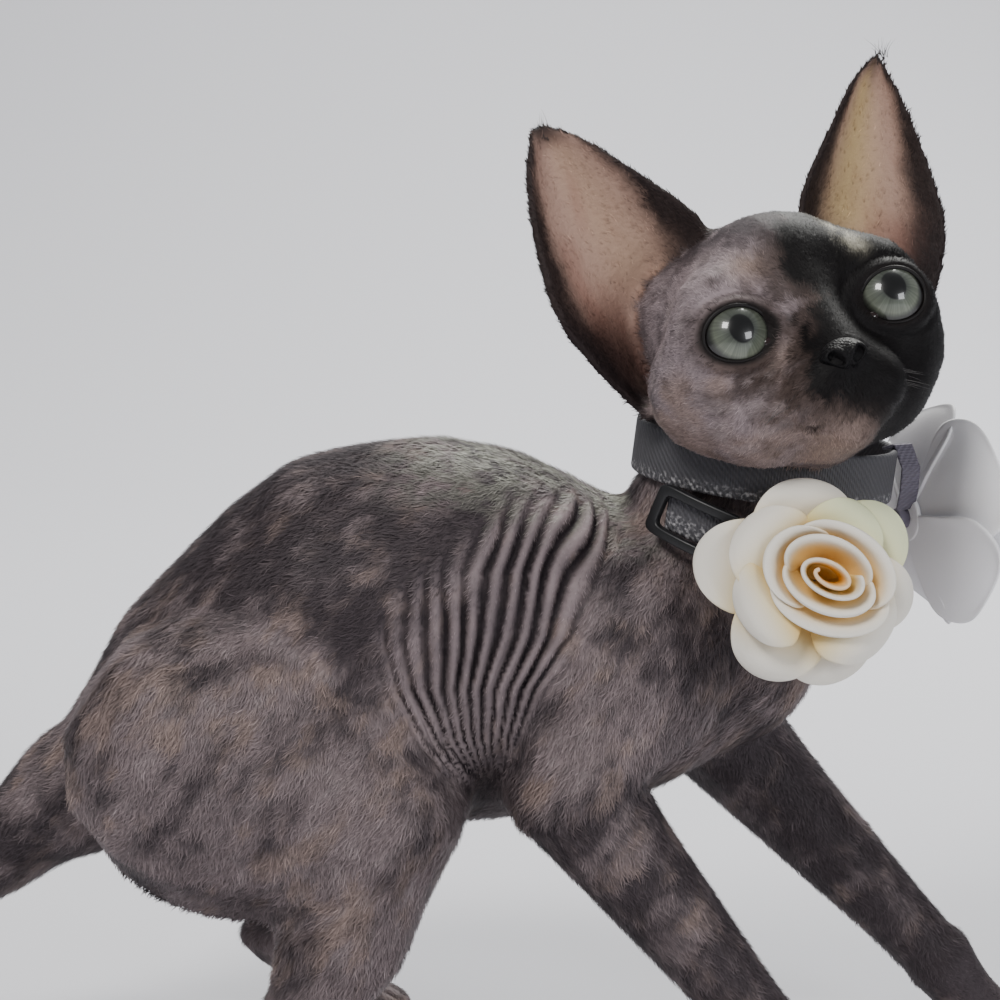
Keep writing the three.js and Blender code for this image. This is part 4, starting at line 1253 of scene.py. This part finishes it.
def webbingFinish(name, colour, threadHeight):        # a twill with a glittering edge
    finish = newMaterial(name, colour, 0.72)
    weave = addNode(finish, "UVMap", {}, uv_map="weave").outputs["UV"]

    def bands(direction, scale, distortion):
        sockets = {"Vector": weave, "Scale": scale, "Distortion": distortion}
        wave = addNode(finish, "TexWave", sockets, wave_type="BANDS", bands_direction=direction)
        return wave.outputs["Fac"]

    ribs = bands("DIAGONAL", 0.42, 0.35)
    cross = bands("X", 0.55, 0.0)
    fuzz = addNode(finish, "TexNoise", {"Vector": weave, "Scale": 1.1, "Detail": 6.0}).outputs["Fac"]
    height = addNode(finish, "SeparateXYZ", {"Vector": weave}).outputs["Y"]
    edge = remap(finish, height, threadHeight, threadHeight - 1.4)
    sparkle = calc(finish, "MULTIPLY", edge, remap(finish, fuzz, 0.50, 0.66))
    dark, light = ([part * share for part in colour[:3]] + [1] for share in (0.75, 1.2))
    cloth = colourRamp(finish, calc(finish, "MULTIPLY", ribs, fuzz), ((0.0, dark), (1.0, light)))
    sockets = {"Factor": sparkle, "A": cloth, "B": collar["thread"]}
    paint(finish, addNode(finish, "Mix", sockets, data_type="RGBA").outputs["Result"])
    roughen(finish, calc(finish, "ADD", ribs, cross), 0.6, 0.0003)
    return finish["material"]


def makeCollar():
    around = 2 * math.pi * collar["radii"][0]
    ring = makeBand("collar_webbing", lambda share, out, up: collarPoint(2 * math.pi * share, out, up),
                    150, True, collar["width"], collar["thickness"], around)
    finishPiece(ring, webbingFinish("collarWebbing", collar["cloth"], -2.6), "webbing", "collar")
    strap = collar["strap"]
    first, last = math.radians(strap["from"]), math.radians(strap["to"])

    def strapAt(share, out, up):
        middle = strap["out"] + strap["thickness"] / 2
        height = strap["drop"] + strap["fall"] * share + up
        return collarPoint(first + (last - first) * share, middle + out, height)

    second = makeBand("collar_second_strap", strapAt, 44, False, strap["width"], strap["thickness"],
                      (last - first) * collar["radii"][0])
    finishPiece(second, webbingFinish("strapWebbing", collar["cloth"], 0.4), "webbing", "collar_strap")
    line = [Vector(point) for point in collar["loop"]]
    broad = Vector(collar["loopBroad"]).normalized()

    def loopAt(share, out, up):
        along = share * (len(line) - 1)
        i = min(int(along), len(line) - 2)
        t = along - i
        t = t * t * (3 - 2 * t) * 0.4 + t * 0.6
        outward = broad.cross((line[i + 1] - line[i]).normalized()).normalized()
        return bodyToFrame @ (line[i].lerp(line[i + 1], t) + outward * out + broad * up)

    loop = makeBand("rose_ribbon", loopAt, 28, False, *collar["loopBand"])
    finishPiece(loop, webbingFinish("ribbonWebbing", collar["loopColour"], -9.0), "webbing")


def makeSlider():
    slider = collar["slider"]
    strap = collar["strap"]
    reach = collar["radii"][0]
    middle = math.radians(strap["from"]) + slider["length"] / reach / 2 * 0.72
    tilt = math.radians(slider["tilt"])
    out = strap["out"] + strap["thickness"] + 0.3
    steps = 64
    places = []
    for inset, depth in ((0, 0), (0, 1), (slider["bar"], 1), (slider["bar"], 0)):
        halfLength, halfWidth = slider["length"] / 2 - inset, slider["width"] / 2 - inset
        for step in range(steps):
            angle = 2 * math.pi * step / steps
            c, w = math.cos(angle), math.sin(angle)
            scale = (abs(c) ** 9 + abs(w) ** 9) ** (-1 / 9)        # a rounded rectangle
            a, b = c * scale * halfLength, w * scale * halfWidth
            a, b = a * math.cos(tilt) - b * math.sin(tilt), a * math.sin(tilt) + b * math.cos(tilt)
            place = collarPoint(middle + a / reach, out + depth * slider["thickness"], slider["drop"] + b)
            places.append(tuple(place))
    faces = []
    for k in range(4):
        here, there = k * steps, (k + 1) % 4 * steps
        for i in range(steps):
            j = (i + 1) % steps
            faces.append((here + i, here + j, there + j, there + i))
    piece = meshPiece("slider_frame", places, faces)
    faceOutward(piece)
    turn = math.radians(40)
    applyModifier(piece, "BEVEL", width=0.00035, segments=3, limit_method="ANGLE", angle_limit=turn)
    bpy.ops.object.shade_smooth_by_angle(angle=turn)
    finish = newMaterial("sliderPlastic", collar["plastic"], 0.38)
    addGrain(finish, 1400.0, 2.0, 0.2, 0.0001)
    finishPiece(piece, finish["material"], "slider_plastic", "collar_slider")


# Roses: thick cloth petals, each shaped one by one from a round sheet, round a rolled heart
roses = {
    "sheet": 17,                # points along each side of a petal's grid
    "thickness": 0.85,          # mm
    "stemRadius": 2.2,
    "backing": (5.2, 1.2),      # radius and thickness of the disc behind
    "seed": 17,
    "colours": {
        "cream": (0.80, 0.76, 0.68),
        "white": (0.88, 0.87, 0.89),
        "lime": (0.74, 0.77, 0.50),
        "yellow": (0.74, 0.56, 0.20),
        "orange": (0.84, 0.44, 0.07),
        "ribbon": (0.15, 0.135, 0.175),
    },
    "rose_cream": {
        "centre": (61.2, -41, 119.6), "facing": (0.02, -0.97, 0.16), "cloth": "cream", "slot": "cream_cloth",
        # towards (degrees), reach, half width, base, rise, curl in mm, tint
        "petals": (
            (166, 22.8, 9.8, -5.0, 3.0, 3.2, "cream"), (92, 20.8, 10.8, -4.6, 3.5, 3.0, "cream"),
            (32, 23.3, 9.4, -5.2, 3.2, 3.2, "lime"), (-10, 22.3, 8.4, -4.8, 3.2, 3.0, "cream"),
            (-72, 21.6, 10.0, -5.0, 3.0, 3.0, "cream"), (-118, 21.4, 9.8, -4.4, 3.2, 3.0, "cream"),
            (137, 17.6, 9.6, -2.8, 6.0, 3.6, "cream"), (52, 19.2, 8.6, -3.0, 5.6, 3.4, "lime"),
            (-40, 20.0, 9.8, -3.2, 6.0, 3.6, "cream"), (-152, 15.4, 9.4, -2.6, 6.8, 3.4, "cream"),
        ),
        "heart": (3.4, 1.4), "heartTurn": -25, "ripple": 0.35, "stem": 11.5, "back": -5.6, "cup": 0.0,
    },
    "rose_white": {
        "centre": (95.8, 9, 124.5), "facing": (0.92, 0.38, 0.03), "cloth": "white", "slot": "white_cloth",
        "petals": (
            (146, 23.6, 14.2, -8.2, 15.0, 3.4, "white"), (214, 23.4, 14.4, -9.4, 14.4, 3.6, "white"),
            (286, 23.0, 13.4, -8.2, 14.0, 3.4, "white"), (2, 22.6, 13.4, -9.0, 13.6, 3.4, "white"),
            (74, 23.2, 13.8, -8.6, 14.6, 3.4, "white"), (182, 19.4, 10.4, -6.4, 14.6, 3.0, "white"),
            (252, 19.0, 10.2, -6.0, 14.4, 3.0, "white"), (324, 18.6, 10.2, -6.2, 14.2, 3.0, "white"),
            (36, 18.8, 10.2, -6.0, 14.2, 3.0, "white"), (110, 19.4, 10.4, -6.2, 14.6, 3.0, "white"),
        ),
        "heart": (0.5, 0.5), "heartTurn": 15, "ripple": 0.3, "stem": 12.0, "back": -8.8, "cup": 0.85,
    },
    # arcs of the rolled heart: from, to (degrees), half width, half height, rim height, outward roll
    "shells": (
        (-20, 150, 13.0, 10.0, 6.2, 1.5), (-150, 20, 13.8, 10.2, 5.2, 1.7), (105, 262, 12.0, 9.4, 6.0, 1.3),
        (10, 205, 9.6, 7.0, 7.4, 0.9), (-175, 40, 9.9, 6.6, 7.2, 1.0),
    ),
    "spiral": {"turns": 1.7, "from": (2.6, 1.1), "to": (7.4, 4.4), "height": 7.2},
}


def discGrid(count):        # a square grid pressed into a disc, so that a petal has no pole and no corner
    u, v = np.meshgrid(np.linspace(-1, 1, count), np.linspace(-1, 1, count))
    return (u * np.sqrt(1 - v * v / 2)).ravel(), (v * np.sqrt(1 - u * u / 2)).ravel()


def gridFaces(rows, columns):
    return [(i * columns + j, i * columns + j + 1, (i + 1) * columns + j + 1, (i + 1) * columns + j)
            for i in range(rows - 1) for j in range(columns - 1)]


def roseFrame(rose):
    normal = Vector(rose["facing"]).normalized()
    across = Vector((0, 0, 1)).cross(normal).normalized()
    turn = Matrix((across, normal.cross(across), normal)).transposed().to_4x4()
    return bodyToFrame @ Matrix.Translation(rose["centre"]) @ turn


def petalTint(name, deep, warm):        # cloth colour, yellower towards the base
    colours = np.tile(np.array(roses["colours"][name]), (len(deep), 1))
    for tint, share in (("yellow", deep), ("orange", warm)):
        share = np.clip(share + np.zeros(len(deep)), 0, 1)[:, None]
        colours = colours * (1 - share) + np.array(roses["colours"][tint]) * share
    return colours


def makeSheet(name, places, faces, colours, matrix):
    piece = meshPiece(name, moved(places, matrix).tolist(), faces)
    writeAttribute(piece, "petalColour", colours)
    applyModifier(piece, "SOLIDIFY", thickness=mm * roses["thickness"], offset=0)
    applyModifier(piece, "SUBSURF", levels=1)
    return piece


def outerPetals(rose, warmth, matrix):
    random = np.random.default_rng(roses["seed"])
    p, q = discGrid(roses["sheet"])
    faces = gridFaces(roses["sheet"], roses["sheet"])
    share = (q + 1) / 2
    narrow = 0.5 + 0.5 * fade(share, 0.0, 0.55)
    deep = warmth * 0.85 * (1 - fade(share, 0.35, 0.88))
    warm = warmth * 0.6 * (1 - fade(share, 0.2, 0.6))
    turnedEdge = 0.9 * fade(np.hypot(p, q), 0.78, 1.0) * share
    cup = rose["cup"]                    # 0 opens like a saucer, 1 is as round as a bowl
    climb = (1 - cup) * np.sin(share * np.pi * 0.62) + cup * share ** 2
    spreadOut = share + cup * (np.sin(share * np.pi / 2) - share)
    petals = []
    for towards, reach, halfWidth, base, rise, curl, tint in rose["petals"]:
        out = 1.0 + (reach - 1.0) * spreadOut
        side = halfWidth * p * narrow
        ripple = rose["ripple"] * np.sin(4.2 * p + random.uniform(0, 6)) * share
        ripple += 0.25 * np.sin(5 * share + random.uniform(0, 6))
        lift = base + rise * climb - curl * share ** 4 - turnedEdge + ripple
        lift += (1.5 - cup) * p * p * share + 0.5 * p * share
        angle = math.radians(towards)
        places = np.column_stack([out * math.cos(angle) - side * math.sin(angle),
                                  out * math.sin(angle) + side * math.cos(angle), lift])
        petals.append(makeSheet("petal", places, faces, petalTint(tint, deep, warm), matrix))
    return petals


def rolledHeart(rose, warmth, matrix):        # standing arcs round a spiral
    turn = math.radians(rose["heartTurn"])
    middle = np.array(rose["heart"])

    def standing(angle, halfWidth, halfHeight, height):
        x, y = halfWidth * np.cos(angle), halfHeight * np.sin(angle)
        return np.column_stack([middle[0] + x * math.cos(turn) - y * math.sin(turn),
                                middle[1] + x * math.sin(turn) + y * math.cos(turn), height])

    p, q = discGrid(roses["sheet"])
    faces = gridFaces(roses["sheet"], roses["sheet"])
    share = (q + 1) / 2
    deep = warmth * 0.8 * (1 - fade(share, 0.35, 0.9))
    sheets = []
    for start, end, halfWidth, halfHeight, rim, roll in roses["shells"]:
        angle = np.radians((start + end) / 2 + (end - start) / 2 * p)
        size = 0.42 + 0.58 * np.sin(share * np.pi / 2) + roll / halfWidth * fade(share, 0.72, 1.0)
        size -= 0.06 * p ** 4
        height = -1.0 + (rim + 1.0) * share ** 0.9 - 1.1 * fade(share, 0.78, 1.0)
        places = standing(angle, halfWidth * size, halfHeight * size, height)
        sheets.append(makeSheet("shell", places, faces, petalTint(rose["cloth"], deep, 0.6 * deep), matrix))
    spiral = roses["spiral"]
    rows, columns = 7, 60
    share, up = (part.ravel() for part in np.meshgrid(np.linspace(0, 1, columns), np.linspace(0, 1, rows)))
    (startWidth, startHeight), (endWidth, endHeight) = spiral["from"], spiral["to"]
    halfWidth = (startWidth + (endWidth - startWidth) * share) * (0.7 + 0.3 * up)
    halfHeight = (startHeight + (endHeight - startHeight) * share) * (0.7 + 0.3 * up)
    height = 1.0 + (spiral["height"] - 1.0 + 0.8 * share) * up
    places = standing(2 * np.pi * spiral["turns"] * share + 2.6, halfWidth, halfHeight, height)
    deep = warmth * (1 - fade(up, 0.45, 1.0))
    warm = warmth * (1 - fade(share, 0.35, 0.75)) * (1 - 0.5 * up)
    tint = petalTint(rose["cloth"], deep, warm)
    sheets.append(makeSheet("heart", places, gridFaces(rows, columns), tint, matrix))
    return sheets


def stemAndBacking(rose, matrix):
    deselectAll()
    length = rose["stem"] + rose["back"] + 2.0
    discRadius, discThickness = roses["backing"]
    pieces = []
    for radius, depth, middle, sidesRound, cloth in (
            (roses["stemRadius"], length, length / 2 - rose["stem"], 48, "ribbon"),
            (discRadius, discThickness, rose["back"], 64, rose["cloth"])):
        bpy.ops.mesh.primitive_cylinder_add(vertices=sidesRound, radius=radius, depth=depth,
                                            location=(0, 0, middle))
        piece = pick(bpy.context.object)
        bpy.ops.object.transform_apply(location=True)
        applyModifier(piece, "BEVEL", width=0.5, segments=3, limit_method="ANGLE")
        piece.data.transform(Matrix(matrix.tolist()))
        writeAttribute(piece, "petalColour", petalTint(cloth, np.zeros(len(piece.data.vertices)), 0))
        pieces.append(piece)
    return pieces


def makeRose(name):
    rose = roses[name]
    matrix = np.array(roseFrame(rose))
    warmth = 1.0 if rose["cloth"] == "cream" else 0.0
    sheets = outerPetals(rose, warmth, matrix) + rolledHeart(rose, warmth, matrix)
    flower = joinPieces(f"{name}_petals", sheets + stemAndBacking(rose, matrix))
    bpy.ops.object.shade_smooth()
    finish = newMaterial(f"{rose['cloth']}Cloth", (*roses["colours"][rose["cloth"]], 1), 0.75, 0.2)
    paintFrom(finish, "petalColour")
    addGrain(finish, 2200.0, 2.0, 0.35, 0.0001)
    finishPiece(flower, finish["material"], rose["slot"], name)


makeCamera()
makeStudio()
skin = makeSkin()
sculptSkin(skin, skinFields(skin))
makeCoat(skin, finishSkin(skin))
for sideName in sides:
    makeEye(sideName)
makeLids()
makeNose()
makeWhiskers()
makeTipHairs()
print("head finished")
makeCollar()
makeSlider()
makeRose("rose_cream")
makeRose("rose_white")
print("collar and roses finished")
